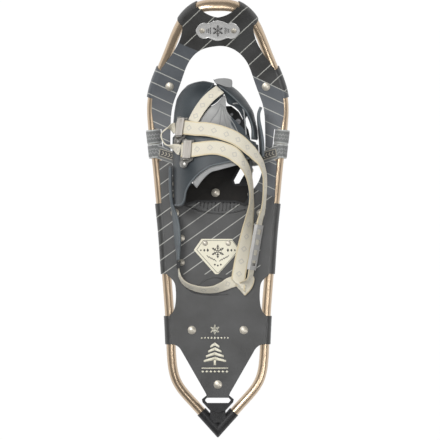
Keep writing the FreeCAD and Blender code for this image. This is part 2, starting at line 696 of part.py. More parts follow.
REAR_WING = [
    [(-75.0, 111.0), (-75.0, 18.0)], [(-75.0, 18.0), (-46.0, 18.0)],
    [(-46.0, 18.0), (-41.0, 37.0), (-33.0, 50.5), (-20.0, 63.5), (0.0, 72.5), (24.0, 77.5), (44.0, 81.5)],
    [(44.0, 81.5), (75.0, 83.0)], [(75.0, 83.0), (75.0, 100.0)], [(75.0, 100.0), (44.0, 101.0)],
    [(44.0, 101.0), (20.0, 106.0), (-12.0, 108.0), (-34.0, 111.0)], [(-34.0, 111.0), (-75.0, 111.0)],
]
LINER = [
    [(-36.0, 47.0), (-29.0, 41.5)],
    [(-29.0, 41.5), (-18.0, 55.0), (-4.0, 64.0), (22.0, 70.5), (38.0, 74.0)],
    [(38.0, 74.0), (38.0, 82.0)],
    [(38.0, 82.0), (20.0, 81.0), (-6.0, 78.0), (-26.0, 68.0), (-36.0, 58.0)],
    [(-36.0, 58.0), (-36.0, 47.0)],
]
feature("toe_wing_left", OUTER_LAYER.common(closed_outline(TOE_WING_LEFT)))
feature("toe_wing_right", OUTER_LAYER.common(closed_outline(TOE_WING_RIGHT)))
feature("toe_lining", INNER_LAYER.common(closed_outline(TOE_LINING)))
feature("instep_wing", INNER_LAYER.common(closed_outline(INSTEP_WING)))
feature("rear_wing", OUTER_LAYER.common(closed_outline(REAR_WING)))
feature("ankle_liner", INNER_LAYER.common(closed_outline(LINER)))


# ---------------------------------------------------------------- webbing
def ribbon(stations, wide, thick):
    """A flat strap: stations are (centre, width direction); its faces are ruled between them."""
    wires = []
    for index, (centre, across) in enumerate(stations):
        before = stations[max(index - 1, 0)][0]
        after = stations[min(index + 1, len(stations) - 1)][0]
        along = after - before
        along.normalize()
        side = across - along * across.dot(along)
        side.normalize()
        normal = along.cross(side)
        corners = []
        for a, b in ((-1, -1), (1, -1), (1, 1), (-1, 1)):
            corners.append(centre + side * (a * wide / 2) + normal * (b * thick / 2))
        wires.append(Part.makePolygon(corners + corners[:1]))
    return Part.makeLoft(wires, True, True)


def over_boot(points, offset):
    """Stations for webbing laid over the boot's surface along plan points."""
    stations = []
    for index, (x, y) in enumerate(points):
        ax, ay = points[max(index - 1, 0)]
        bx, by = points[min(index + 1, len(points) - 1)]
        along = boot_point(bx, by, offset) - boot_point(ax, ay, offset)
        stations.append((boot_point(x, y, offset), boot_normal(x, y, offset).cross(along)))
    return stations


def rolled(points):
    """Stations from (x, y, z, roll): roll 0 lies flat and 90 stands on its edge."""
    stations = []
    for index, (x, y, z, roll) in enumerate(points):
        ax, ay = points[max(index - 1, 0)][:2]
        bx, by = points[min(index + 1, len(points) - 1)][:2]
        along = Vector(bx - ax, by - ay, 0)
        along.normalize()
        flat_side = UP.cross(along)
        angle = math.radians(roll)
        stations.append((Vector(x, y, z), flat_side * math.cos(angle) + UP * math.sin(angle)))
    return stations


WIDE = SIZE["web_wide"]
THICK = SIZE["web_thick"]
# How far above the boot the middle of each band of webbing lies.
WEB_LAYER = 6.6
INSTEP_LAYER = WEB_LAYER + 0.6
BALL_LAYER = WEB_LAYER + 2.0
# Where webbing is pinned to a buckle's floor, from the buckle's middle along the webbing.
BUCKLE_REACHES = (-9.0, 6.0, 11.0)

def frame_placement(origin, along, normal):
    """A placement whose X runs along, and whose Z is the normal."""
    across = normal.cross(along)
    across.normalize()
    ahead = across.cross(normal)
    turn = Matrix(ahead.x, across.x, normal.x, origin.x,
                  ahead.y, across.y, normal.y, origin.y,
                  ahead.z, across.z, normal.z, origin.z,
                  0, 0, 0, 1)
    return Placement(turn)


# ---------------------------------------------------------------- cam buckles
BUCKLE_OFFSET = 5.7
PIN_UP = 6.2
EAR_INSIDE = SIZE["lever_long"] / 2 + 0.25
EAR_HALF = EAR_INSIDE + SIZE["ear_thick"]
WEB_UP = SIZE["buckle_floor"] + 0.15 + THICK / 2
BUCKLES = {"front": (-47.5, 121.0), "rear": (-39.5, 91.5)}


def buckle_frame(x, y):
    """X along the webbing towards the foot's middle, Y forward, Z out of the wall."""
    origin = boot_point(x, y, BUCKLE_OFFSET)
    normal = boot_normal(x, y, BUCKLE_OFFSET)
    return frame_placement(origin, AHEAD.cross(normal), normal)


for name, (x, y) in BUCKLES.items():
    place = buckle_frame(x, y)
    base = new_body("buckle_base_" + name)
    floor = [(-10.0, -EAR_HALF), (-11.5, -17.0), (-9.5, -22.0), (-5.0, -24.0), (0.0, -22.5), (3.0, -17.0),
             (10.0, -EAR_HALF), (10.0, EAR_HALF), (-10.0, EAR_HALF)]
    pad(base, "XY_Plane", [floor], "buckle_floor")
    ear = [(-6.0, 0.4), (6.0, 0.4), (5.0, 5.0), (3.0, PIN_UP + 2.6), (-3.0, PIN_UP + 2.6), (-5.0, 5.0)]
    bore = (0.0, PIN_UP, SIZE["pin_radius"] + 0.02)
    left_ear = pad(base, "XZ_Plane", [ear, bore], "ear_thick", EAR_INSIDE)
    mirrored(base, left_ear, "XZ_Plane")
    base.Placement = place

    pin = DOC.addObject("Part::Cylinder", "buckle_pin_" + name)
    pin.setExpression("Radius", "Sizes.pin_radius")
    pin.setExpression("Height", "Sizes.lever_long + 2 * Sizes.ear_thick + 1.3")
    DOC.recompute()
    half_pin = SIZE["lever_long"] / 2 + SIZE["ear_thick"] + 0.65
    pin.Placement = place.multiply(Placement(Vector(0, half_pin, PIN_UP), Rotation(RIGHT, 90)))
    keep(pin, "buckle_pin_" + name)

    lever = new_body("lever_" + name)
    hub = (0.0, PIN_UP, 2.9)
    hub_bore = (0.0, PIN_UP, SIZE["pin_radius"] + 0.08)
    pad(lever, "XZ_Plane", [hub, hub_bore], "lever_long", 0.0, True)
    handle = [(2.0, PIN_UP - 1.4), (9.2, PIN_UP - 1.0), (10.2, PIN_UP + 0.6), (9.0, PIN_UP + 2.2),
              (1.0, PIN_UP + 2.6), (1.6, PIN_UP + 1.2), (2.2, PIN_UP)]
    pad(lever, "XZ_Plane", [handle], "lever_long", 0.0, True)
    lever.Placement = place

    boss = place.multVec(Vector(-5.0, -18.6, SIZE["buckle_floor"] + 0.02))
    feature("buckle_rivet_" + name, rivet(boss, place.Rotation.multVec(UP), 4.6, 6.0, 3.4))


# ---------------------------------------------------------------- straps
def through_buckle(name, reaches):
    """Stations for webbing that lies on a buckle's floor, at distances along it."""
    place = buckle_frame(*BUCKLES[name])
    across = place.Rotation.multVec(AHEAD)
    return [(place.multVec(Vector(reach, 0, WEB_UP)), across) for reach in reaches]


TOE_STRAP = [(-33.0, 129.0), (-27.0, 140.0), (-19.0, 152.0), (-9.0, 163.0), (3.0, 172.5)]
feature("toe_strap", ribbon(over_boot(TOE_STRAP, WEB_LAYER), 15.0, THICK))

# The slider's straight line, which two straps share.
SLIDE_FRONT = Vector(56.0, -2.0, 51.3)
SLIDE_BACK = Vector(43.2, -76.0, 51.3)
SLIDE_ROLL = -68.0


def on_slide(y, roll=SLIDE_ROLL):
    part = (SLIDE_FRONT.y - y) / (SLIDE_FRONT.y - SLIDE_BACK.y)
    point = SLIDE_FRONT + (SLIDE_BACK - SLIDE_FRONT) * part
    return (point.x, point.y, point.z, roll)


BALL_OVER = [(-28.0, 119.5), (-16.0, 119.0), (-3.0, 116.5), (10.0, 112.5), (22.0, 107.5), (32.0, 101.0),
             (40.0, 94.0)]
BALL_DOWN = [(48.0, 86.5, 98.5, -46.0), (56.6, 76.0, 91.0, -60.0), (61.4, 62.0, 81.0, -66.0),
             (62.6, 48.0, 71.5, -66.0), (62.2, 32.0, 61.8, -70.0), (60.2, 14.0, 55.0, -72.0),
             on_slide(-2.0), on_slide(-30.0), on_slide(-58.0)]
ball = through_buckle("front", BUCKLE_REACHES) + over_boot(BALL_OVER, BALL_LAYER) + rolled(BALL_DOWN)
feature("ball_strap", ribbon(ball, WIDE, THICK))

INSTEP_OVER = [(-16.0, 94.0), (-3.0, 94.5), (10.0, 91.5), (22.0, 85.5)]
INSTEP_DOWN = [(33.8, 73.0, 108.5, -48.0), (40.4, 60.0, 97.0, -60.0), (44.2, 42.0, 79.0, -66.0),
               (44.4, 24.0, 65.0, -68.0), (42.4, 5.0, 54.8, -52.0), (39.0, -16.0, 49.0, -36.0),
               (35.0, -38.0, 45.8, -16.0), (31.0, -58.0, 44.6, -2.0), (28.2, -74.0, 44.6, 0.0),
               (27.0, -88.0, 44.6, 0.0)]
instep = through_buckle("rear", BUCKLE_REACHES) + over_boot(INSTEP_OVER, INSTEP_LAYER) + rolled(INSTEP_DOWN)
feature("instep_strap", ribbon(instep, WIDE, THICK))

FOLD_STRAP = [(30.0, -95.0, 40.4, 4.0), (36.0, -89.5, 42.6, 20.0), (40.6, -83.0, 47.4, 46.0),
              on_slide(-77.0, -SLIDE_ROLL), on_slide(-71.0, -SLIDE_ROLL), on_slide(-62.0, -SLIDE_ROLL)]
feature("fold_strap", ribbon(rolled(FOLD_STRAP), WIDE, THICK))

pull_start = through_buckle("front", (-10.5,))
pull_end = through_buckle("rear", (-10.5,))
PULL_LOOP = [(-67.5, 120.5, 84.0, 70.0), (-74.5, 113.5, 84.0, 84.0), (-73.0, 104.5, 86.0, 88.0),
             (-65.0, 97.0, 90.0, 82.0)]
loop_middle = [(centre, Vector(0, across.y * 0.3, 1.0)) for centre, across in rolled(PULL_LOOP)]
feature("pull_loop", ribbon(pull_start + loop_middle + pull_end, 14.0, THICK))

HEEL_STRAP = [(-52.5, -55.0, 50.8, 90.0), (-52.2, -66.0, 50.6, 88.0), (-50.0, -77.0, 49.6, 78.0),
              (-43.5, -85.5, 48.4, 68.0), (-33.0, -91.0, 46.6, 60.0), (-20.0, -94.0, 46.0, 56.0),
              (-6.0, -93.5, 45.4, 50.0), (6.0, -89.5, 43.6, 36.0), (15.0, -85.0, 41.2, 16.0),
              (24.0, -82.0, 40.2, 8.0)]
feature("heel_strap", ribbon(rolled(HEEL_STRAP), WIDE * 0.8, THICK))

# ---------------------------------------------------------------- rubber arms and the heel loop
HEEL_ARM_LEFT = [(-63.0, 70.0, 64.0, 90.0), (-63.2, 50.0, 61.0, 90.0), (-62.4, 32.0, 58.0, 90.0),
                 (-60.6, 19.0, 56.0, 88.0), (-57.4, 6.0, 54.2, 76.0), (-55.0, -10.0, 52.9, 69.0),
                 (-53.7, -29.0, 51.8, 71.0), (-53.1, -44.0, 51.2, 82.0), (-52.8, -54.0, 51.0, 89.0)]
feature("heel_arm_left", ribbon(rolled(HEEL_ARM_LEFT), 19.0, 3.4))
TOE_ARM_RIGHT = [(57.2, 149.0, 67.0, 90.0), (54.6, 142.0, 66.0, 90.0), (54.4, 133.0, 64.5, 88.0),
                 (56.2, 120.0, 62.0, 82.0), (58.0, 106.0, 60.0, 78.0), (58.7, 94.0, 59.0, 78.0),
                 (58.5, 84.0, 58.0, 80.0)]
feature("toe_arm_right", ribbon(rolled(TOE_ARM_RIGHT), 18.0, 3.0))

# ---------------------------------------------------------------- the low right wall and the wall rivets
RIGHT_WALL = [(43.2, 80.0, 51.2, 102.0), (43.2, 50.0, 51.2, 102.0), (43.0, 20.0, 51.2, 102.0)]
feature("side_wall_right", ribbon(rolled(RIGHT_WALL), 22.0, 2.4))

RIGHT_RIVET_OUT = 46.1
LEFT_RIVETS = (48.0, 32.0)
RIGHT_RIVETS = (66.0, 34.0)
WALL_RIVET_HEIGHT = PLATE_LOW + SIZE["plate_thick"] / 2 + 1.6
WALL_RIVET_HEAD = SIZE["small_head"] * 0.8
wall_rivets = []
for y in LEFT_RIVETS:
    middle, half_wide, tall = boot_size(y)
    start = Vector(middle - half_wide - 4.8, y, WALL_RIVET_HEIGHT)
    wall_rivets.append(rivet(start, Vector(-1, 0, 0), WALL_RIVET_HEAD, 5.0))
for y in RIGHT_RIVETS:
    start = Vector(RIGHT_RIVET_OUT, y, WALL_RIVET_HEIGHT)
    wall_rivets.append(rivet(start, RIGHT, WALL_RIVET_HEAD, 5.0))
feature("wing_rivets", Part.makeCompound(wall_rivets))


def sleeve(label, long_alias, wide_alias, thick_alias, web_wide, windows):
    """A flat sleeve with a channel for webbing and windows through one face, along X."""
    body = new_body(label)
    wide, thick = SIZE[wide_alias], SIZE[thick_alias]
    channel_wide, channel_thick = web_wide + 0.8, THICK + 0.7
    outer = [(-wide / 2, -thick / 2), (wide / 2, -thick / 2), (wide / 2, thick / 2), (-wide / 2, thick / 2)]
    inner = [(-channel_wide / 2, -channel_thick / 2), (channel_wide / 2, -channel_thick / 2),
             (channel_wide / 2, channel_thick / 2), (-channel_wide / 2, channel_thick / 2)]
    pad(body, "YZ_Plane", [outer, inner], long_alias, 0.0, True)
    if windows:
        cuts = []
        for centre in windows:
            cuts.append([(centre - 3.6, -7.0), (centre + 3.6, -7.0),
                         (centre + 3.6, 7.0), (centre - 3.6, 7.0)])
        pocket = body.newObject("PartDesign::Pocket", "Windows")
        pocket.Profile = sketch(body, "XY_Plane", cuts)
        pocket.Length = thick
        pocket.Reversed = True
        DOC.recompute()
    return body


slider = sleeve("strap_slider", "slider_long", "slider_wide", "slider_thick", WIDE, (-21.0, -7.0, 7.0, 21.0))
slide_middle = Vector(*on_slide(-37.0)[:3])
slide_along = (SLIDE_BACK - SLIDE_FRONT).normalize()
flat_side = UP.cross(slide_along)
roll = math.radians(SLIDE_ROLL)
slide_across = flat_side * math.cos(roll) + UP * math.sin(roll)
slider.Placement = frame_placement(slide_middle, slide_along, slide_along.cross(slide_across))

loop = sleeve("heel_loop", "loop_long", "loop_wide", "loop_thick", WIDE * 0.8, ())
loop.Placement = frame_placement(Vector(-52.35, -60.0, 50.8), Vector(0, -1, 0), Vector(1, 0, 0))

# ---------------------------------------------------------------- checks and export
DOC.recompute()
for obj in DOC.Objects:
    if "Invalid" in obj.State or "Error" in obj.State:
        raise RuntimeError("failed: %s %s" % (obj.Label, obj.State))
for node in NODES:
    if node.Shape.isNull() or not node.Shape.isValid() or node.Shape.Volume <= 0:
        raise RuntimeError("bad shape: " + node.Label)

os.makedirs("parts", exist_ok=True)
for node in NODES:
    node.Shape.exportStep("parts/%s.step" % node.Label)
    box = node.Shape.optimalBoundingBox(False, False)
    print("%-24s solids %d  %9.1f mm3  x %.1f %.1f  y %.1f %.1f  z %.1f %.1f" % (
        node.Label, len(node.Shape.Solids), node.Shape.Volume,
        box.XMin, box.XMax, box.YMin, box.YMax, box.ZMin, box.ZMax))
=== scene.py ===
"""The look of one snowshoe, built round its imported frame.

Metres, +Y to the nose, +Z up. Lengths in the tables below are millimetres and pass through MM.
"""
import json
import math

import bmesh
import bpy
import numpy as np
from mathutils import Matrix, Vector


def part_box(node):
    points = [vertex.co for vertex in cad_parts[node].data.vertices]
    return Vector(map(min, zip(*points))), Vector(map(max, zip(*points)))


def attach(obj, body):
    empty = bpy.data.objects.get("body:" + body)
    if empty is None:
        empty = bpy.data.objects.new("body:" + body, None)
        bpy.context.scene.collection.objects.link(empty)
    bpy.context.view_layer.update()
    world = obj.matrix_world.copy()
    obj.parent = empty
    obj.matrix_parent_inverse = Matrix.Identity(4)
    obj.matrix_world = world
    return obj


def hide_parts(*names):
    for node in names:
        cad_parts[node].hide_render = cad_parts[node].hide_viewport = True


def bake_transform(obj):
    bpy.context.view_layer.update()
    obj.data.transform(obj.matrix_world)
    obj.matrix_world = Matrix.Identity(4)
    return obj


MM = 0.001
UP = Vector((0, 0, 1))

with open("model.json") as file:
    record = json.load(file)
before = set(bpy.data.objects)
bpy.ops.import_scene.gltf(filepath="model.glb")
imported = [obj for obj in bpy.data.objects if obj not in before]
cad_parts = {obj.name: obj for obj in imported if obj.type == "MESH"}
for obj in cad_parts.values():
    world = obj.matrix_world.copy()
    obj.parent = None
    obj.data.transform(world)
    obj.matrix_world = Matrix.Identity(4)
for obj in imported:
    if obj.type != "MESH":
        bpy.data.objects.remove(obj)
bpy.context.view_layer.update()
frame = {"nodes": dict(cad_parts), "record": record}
NODES = frame["nodes"]


# ================================================================ shader helpers
class Shader:
    """A Principled material and short calls for the nodes that feed it."""

    def __init__(self, name, color, roughness=0.5, metallic=0.0, **sockets):
        self.mat = bpy.data.materials.new(name)
        self.mat.use_nodes = True
        self.nodes = self.mat.node_tree.nodes
        self.links = self.mat.node_tree.links
        self.bsdf = self.nodes["Principled BSDF"]
        self.bsdf.inputs["Base Color"].default_value = (*color, 1)
        self.bsdf.inputs["Roughness"].default_value = roughness
        self.bsdf.inputs["Metallic"].default_value = metallic
        for label, value in sockets.items():
            self.bsdf.inputs[label.replace("_", " ")].default_value = value

    def feed(self, socket, value):
        if isinstance(value, bpy.types.NodeSocket):
            self.links.new(value, socket)
        elif isinstance(value, tuple) and socket.type == "RGBA":
            socket.default_value = (*value, 1)
        else:
            socket.default_value = value

    def node(self, kind, inputs=None, **settings):
        made = self.nodes.new(kind)
        for label, value in settings.items():
            setattr(made, label, value)
        for label, value in (inputs or {}).items():
            self.feed(made.inputs[label], value)
        return made

    def place(self):
        """The piece's own coordinates, which are the row frame at rest."""
        return self.node("ShaderNodeTexCoord").outputs["Object"]

    def uv(self):
        """Metres across (x) and along (y) a strap."""
        return self.node("ShaderNodeUVMap").outputs["UV"]

    def axes(self, vector):
        split = self.node("ShaderNodeSeparateXYZ", {0: vector})
        return split.outputs[0], split.outputs[1], split.outputs[2]

    def scaled(self, vector, factors):
        mapping = self.node("ShaderNodeMapping", {"Vector": vector})
        mapping.inputs["Scale"].default_value = factors
        return mapping.outputs[0]

    def math(self, operation, a, b=0.0, c=0.0, clamp=False):
        made = self.node("ShaderNodeMath", {0: a, 1: b, 2: c}, operation=operation, use_clamp=clamp)
        return made.outputs[0]

    def ramp(self, value, low, high, to_low=0.0, to_high=1.0):
        made = self.node("ShaderNodeMapRange", {
            "Value": value, "From Min": low, "From Max": high, "To Min": to_low, "To Max": to_high})
        return made.outputs[0]

    def mix(self, factor, a, b):
        made = self.node("ShaderNodeMix", {0: factor, 6: a, 7: b}, data_type="RGBA")
        return made.outputs[2]

    def noise(self, scale, detail=3.0, vector=None, rough=0.5):
        return self.node("ShaderNodeTexNoise", {
            "Vector": vector or self.place(), "Scale": scale, "Detail": detail,
            "Roughness": rough}).outputs["Fac"]

    def voronoi(self, scale, vector=None):
        return self.node("ShaderNodeTexVoronoi", {
            "Vector": vector or self.place(), "Scale": scale}).outputs["Distance"]

    def color(self, value):
        self.feed(self.bsdf.inputs["Base Color"], value)

    def rough(self, value):
        self.feed(self.bsdf.inputs["Roughness"], value)

    def bump(self, height, distance, strength=1.0, below=None):
        made = self.node("ShaderNodeBump", {"Height": height, "Distance": distance, "Strength": strength})
        if below is not None:
            self.links.new(below, made.inputs["Normal"])
        self.links.new(made.outputs[0], self.bsdf.inputs["Normal"])
        return made.outputs[0]

    def waves(self, along, pitch):
        """0 to 1 and back over each pitch of a coordinate."""
        turn = self.math("MULTIPLY", along, 2 * math.pi / pitch)
        return self.math("MULTIPLY_ADD", self.math("SINE", turn), 0.5, 0.5)

    def stripe(self, along, pitch, wide, shift=0.0):
        """1 inside a line of that width, once every pitch."""
        moved = self.math("ADD", along, shift)
        folded = self.math("PINGPONG", moved, pitch / 2)
        soft = wide * 0.25
        return self.ramp(folded, wide / 2 + soft, wide / 2 - soft)


# ================================================================ materials
def bronze():
    made = Shader("bronze_tube", (0.62, 0.46, 0.30), 0.3, 0.85, Coat_Weight=0.2, Coat_Roughness=0.12)
    fine = made.noise(900.0, 2.0, made.scaled(made.place(), (1.0, 0.12, 1.0)))
    cloud = made.noise(14.0, 4.0)
    made.color(made.mix(cloud, (0.54, 0.41, 0.28), (0.62, 0.485, 0.345)))
    made.rough(made.ramp(made.math("ADD", fine, cloud), 0.6, 1.4, 0.28, 0.36))
    made.bump(fine, 0.000003, 0.4)
    return made.mat


def moulded_black(name="moulded_black", color=(0.018, 0.018, 0.0185), gloss=0.3):
    made = Shader(name, color, 0.46, Specular_IOR_Level=gloss)
    grain = made.noise(2600.0, 2.0)
    scuff = made.noise(90.0, 5.0)
    lighter = tuple(channel * 1.9 + 0.006 for channel in color)
    made.color(made.mix(made.ramp(scuff, 0.45, 0.8), color, lighter))
    made.rough(made.ramp(scuff, 0.3, 0.7, 0.38, 0.58))
    made.bump(grain, 0.00012, 0.8)
    return made.mat


def tumbled(name, color, scale=420.0, dents=0.00012, rough=0.42):
    made = Shader(name, color, rough, 0.55)
    pits = made.noise(scale, 4.0)
    stain = made.noise(60.0, 3.0)
    darker = tuple(channel * 0.62 for channel in color)
    made.color(made.mix(made.ramp(stain, 0.35, 0.7), color, darker))
    made.rough(made.ramp(pits, 0.3, 0.7, rough - 0.08, rough + 0.16))
    made.bump(pits, dents, 0.9)
    return made.mat


def brushed(name, color, pitch=(40.0, 2400.0, 2400.0), rough=0.3, metal=1.0):
    made = Shader(name, color, rough, metal)
    lines = made.noise(1.0, 3.0, made.scaled(made.place(), pitch))
    made.rough(made.ramp(lines, 0.3, 0.7, rough - 0.08, rough + 0.16))
    dull = tuple(channel * 0.8 for channel in color)
    made.color(made.mix(lines, color, dull))
    made.bump(lines, 0.00005, 0.7)
    return made.mat


# Deck print: which side of a boundary line (through two plan points, millimetres) a spot is on.
NOSE_PANEL_LEFT = ((-55.6, 236.6), (-26.8, 224.4))
NOSE_PANEL_RIGHT = ((48.2, 192.1), (94.7, 169.5))
MIDDLE_PANEL_RIGHT = ((36.4, 46.4), (78.0, 29.0))
# Where the print changes along Y, and the plain strip at the right, in metres.
LEFT_PANEL_END = 0.0925
NOSE_STRIPES_FROM = 0.1300
TAIL_PLAIN_TO = -0.0735
SIDE_PLAIN_FROM, SIDE_PLAIN_TO = 0.0570, 0.026
DARK = (0.034, 0.0335, 0.032)
SLATE = (0.080, 0.088, 0.098)
PINSTRIPE = (0.48, 0.48, 0.44)


def deck_skin():
    made = Shader("deck_skin", DARK, 0.42, 0.0, Coat_Weight=0.05, Coat_Roughness=0.4)
    place = made.place()
    x, y, z = made.axes(place)

    def ahead_of(line):
        (x0, y0), (x1, y1) = line
        slope = (y1 - y0) / (x1 - x0)
        level = made.math("MULTIPLY_ADD", x, slope, (y0 - slope * x0) * MM)
        return made.ramp(made.math("SUBTRACT", y, level), -0.0002, 0.0002)

    def either(a, b):
        return made.math("MAXIMUM", a, b)

    def both(a, b):
        return made.math("MULTIPLY", a, b)

    def opposite(a):
        return made.math("SUBTRACT", 1.0, a)

    left = made.ramp(x, 0.0001, -0.0001)
    right = opposite(left)
    behind_left = made.ramp(y, LEFT_PANEL_END, LEFT_PANEL_END - 0.0002)
    dark_left = both(left, either(ahead_of(NOSE_PANEL_LEFT), behind_left))
    dark_right = both(right, either(ahead_of(NOSE_PANEL_RIGHT), opposite(ahead_of(MIDDLE_PANEL_RIGHT))))
    dark = either(dark_left, dark_right)

    def stripes_at(slope, pitch, shift):
        across = made.math("SUBTRACT", made.math("MULTIPLY", y, math.cos(slope)),
                           made.math("MULTIPLY", x, math.sin(slope)))
        return made.stripe(across, pitch, STRIPE_WIDE, shift)

    on_nose = made.ramp(y, NOSE_STRIPES_FROM, NOSE_STRIPES_FROM + 0.0002)
    rising = made.mix(on_nose, stripes_at(*REAR_STRIPES), stripes_at(*NOSE_STRIPES))
    stripes = made.mix(dark, stripes_at(*SLATE_STRIPES), rising)
    plain_tail = made.ramp(y, TAIL_PLAIN_TO, TAIL_PLAIN_TO + 0.0002)
    plain_right = either(made.ramp(x, SIDE_PLAIN_FROM, SIDE_PLAIN_FROM - 0.0002),
                         made.ramp(y, SIDE_PLAIN_TO, SIDE_PLAIN_TO + 0.0002))
    shown = both(both(stripes, plain_tail), plain_right)

    mottle = made.noise(26.0, 4.0)
    scuffs = made.noise(1.0, 5.0, made.scaled(place, (120.0, 420.0, 120.0)))
    skin = made.mix(dark, SLATE, DARK)
    worn = made.mix(made.ramp(mottle, 0.3, 0.75), skin, made.mix(0.10, skin, (0.35, 0.36, 0.37)))
    print_fade = made.ramp(scuffs, 0.25, 0.6, 0.72, 1.0)
    made.color(made.mix(both(shown, print_fade), worn, PINSTRIPE))

    weave_x = made.waves(x, WEAVE_PITCH)
    weave_y = made.waves(y, WEAVE_PITCH)
    weave = made.math("MULTIPLY", weave_x, weave_y)
    made.rough(made.ramp(made.math("ADD", weave, mottle), 0.2, 1.6, 0.34, 0.52))
    grain = made.bump(weave, 0.00006, 0.7)
    made.bump(made.noise(420.0, 4.0), 0.00012, 0.5, grain)
    return made.mat


# Pinstripes: slope, spacing, and shift of the first line, in metres.
NOSE_STRIPES = (math.radians(41.8), 0.01915, -0.01125)
REAR_STRIPES = (math.radians(35.5), 0.0166, -0.0002)
SLATE_STRIPES = (math.radians(-24.5), 0.01565, -0.0057)
STRIPE_WIDE = 0.0010
WEAVE_PITCH = 0.0011


def webbing(name, color, thread, motif=None, motif_color=(0.3, 0.3, 0.3), edge=None, half_wide=0.0095):
    """Flat woven webbing: ribs across it, a herringbone of yarns, and a small repeated motif."""
    made = Shader(name, color, 0.78, 0.0, Sheen_Weight=0.25, Sheen_Roughness=0.5)
    across, along, unused = made.axes(made.uv())
    rib = made.waves(along, 0.00115)
    yarn = made.waves(across, 0.0009)
    zigzag = made.math("PINGPONG", across, 0.0024)
    bone = made.waves(made.math("ADD", along, zigzag), 0.0019)
    height = made.math("ADD", made.math("MULTIPLY", rib, yarn), made.math("MULTIPLY", bone, 0.6))
    fuzz = made.noise(1500.0, 3.0)
    soil = made.noise(45.0, 4.0)
    shade = made.ramp(made.math("ADD", height, fuzz), 0.3, 1.7)
    base = made.mix(shade, thread, color)
    base = made.mix(made.ramp(soil, 0.4, 0.8, 0.0, 0.35), base, tuple(c * 0.72 for c in color))
    if edge is not None:
        rim = made.ramp(made.math("ABSOLUTE", across), half_wide - 0.0022, half_wide - 0.0016)
        base = made.mix(rim, base, edge)
    if motif is not None:
        cell = made.math("SUBTRACT", made.math("PINGPONG", along, motif / 2), motif / 4)
        shape = made.math("ADD", made.math("ABSOLUTE", across), made.math("ABSOLUTE", cell))
        ring = made.math("ABSOLUTE", made.math("SUBTRACT", shape, 0.0034))
        inked = made.ramp(ring, 0.0011, 0.0007, 0.0, 0.55)
        printed = made.math("MULTIPLY", inked, made.ramp(fuzz, 0.35, 0.6, 0.5, 1.0))
        base = made.mix(printed, base, motif_color)
    made.color(base)
    made.bump(height, 0.00028, 0.9)
    return made.mat


def moulded(name, color, light, rough=0.45, grain=1700.0):
    """Flexible moulded sheet with a fine leathery grain and paler rubbed places."""
    made = Shader(name, color, rough, 0.0, Sheen_Weight=0.08)
    cells = made.voronoi(grain)
    cloud = made.noise(22.0, 4.0)
    made.color(made.mix(made.ramp(cloud, 0.35, 0.75), color, light))
    made.rough(made.ramp(cloud, 0.3, 0.7, rough - 0.06, rough + 0.12))
    made.bump(cells, 0.00016, 0.55)
    return made.mat


def instep_skin():
    """The pale instep wrap: soft creases, and a painted shadow in dark grey on its lower right."""
    made = Shader("instep_skin", (0.30, 0.30, 0.295), 0.48, 0.0, Sheen_Weight=0.08)
    x, y, z = made.axes(made.place())
    diagonal = made.math("ADD", x, made.math("MULTIPLY", y, 0.75))
    # Painted shadow: the wing's lower right is coloured dark.
    dark = made.math("MULTIPLY", made.ramp(diagonal, 0.1105, 0.1125), made.ramp(x, 0.0160, 0.0185))
    cloud = made.noise(32.0, 4.0)
    pale = made.mix(made.ramp(cloud, 0.35, 0.7), (0.22, 0.22, 0.218), (0.38, 0.38, 0.37))
    shadow_tone = made.mix(cloud, (0.035, 0.043, 0.050), (0.070, 0.082, 0.092))
    made.color(made.mix(dark, pale, shadow_tone))
    made.rough(made.ramp(cloud, 0.3, 0.7, 0.42, 0.58))
    made.bump(cloud, 0.0011, 0.6, made.bump(made.voronoi(1500.0), 0.00016, 0.55))
    return made.mat


MATS = {
    "bronze_tube": bronze(),
    "black_plastic": moulded_black(),
    "deck_skin": deck_skin(),
    "emblem_metal": brushed("emblem_metal", (0.72, 0.715, 0.70), metal=0.35),
    "rivet_metal": tumbled("rivet_metal", (0.72, 0.67, 0.57)),
    "badge_enamel": moulded("badge_enamel", (0.72, 0.68, 0.53), (0.78, 0.75, 0.62), 0.36, 900.0),
    "crampon_steel": brushed("crampon_steel", (0.26, 0.26, 0.27), (30.0, 900.0, 900.0), 0.42),
    "grey_webbing": webbing("grey_webbing", (0.26, 0.265, 0.26), (0.11, 0.113, 0.114), 0.009,
                            (0.52, 0.53, 0.51), (0.50, 0.51, 0.49), 0.0092),
    "footbed_rubber": moulded_black("footbed_rubber", (0.011, 0.0095, 0.008), 0.16),
    "slate_shell": moulded("slate_shell", (0.022, 0.029, 0.034), (0.052, 0.063, 0.071)),
    "grey_shell": moulded("grey_shell", (0.23, 0.235, 0.235), (0.36, 0.36, 0.355), 0.5),
    "cream_webbing": webbing("cream_webbing", (0.86, 0.81, 0.68), (0.66, 0.61, 0.48), 0.034,
                             (0.42, 0.41, 0.40), (0.72, 0.62, 0.42)),
    "buckle_steel": tumbled("buckle_steel", (0.34, 0.33, 0.31), 300.0, 0.0004, 0.34),
    "lever_plastic": moulded("lever_plastic", (0.42, 0.39, 0.35), (0.52, 0.49, 0.45), 0.38, 1200.0),
    "slate_rubber": moulded("slate_rubber", (0.085, 0.100, 0.110), (0.15, 0.17, 0.18), 0.5, 1400.0),
    "slider_plastic": moulded("slider_plastic", (0.42, 0.41, 0.39), (0.56, 0.55, 0.53), 0.42, 1500.0),
}
INK = moulded("dark_ink", (0.045, 0.043, 0.042), (0.07, 0.068, 0.066), 0.5, 900.0)
CREAM_PRINT = moulded("cream_print", (0.80, 0.76, 0.60), (0.86, 0.83, 0.70), 0.5, 900.0)
THREAD = moulded("thread", (0.50, 0.46, 0.36), (0.58, 0.54, 0.44), 0.7, 2500.0)

for entry in frame["record"]["subparts"]:
    node = NODES[entry["node"]]
    node.data.materials.clear()
    node.data.materials.append(MATS[entry["material_slot"]])


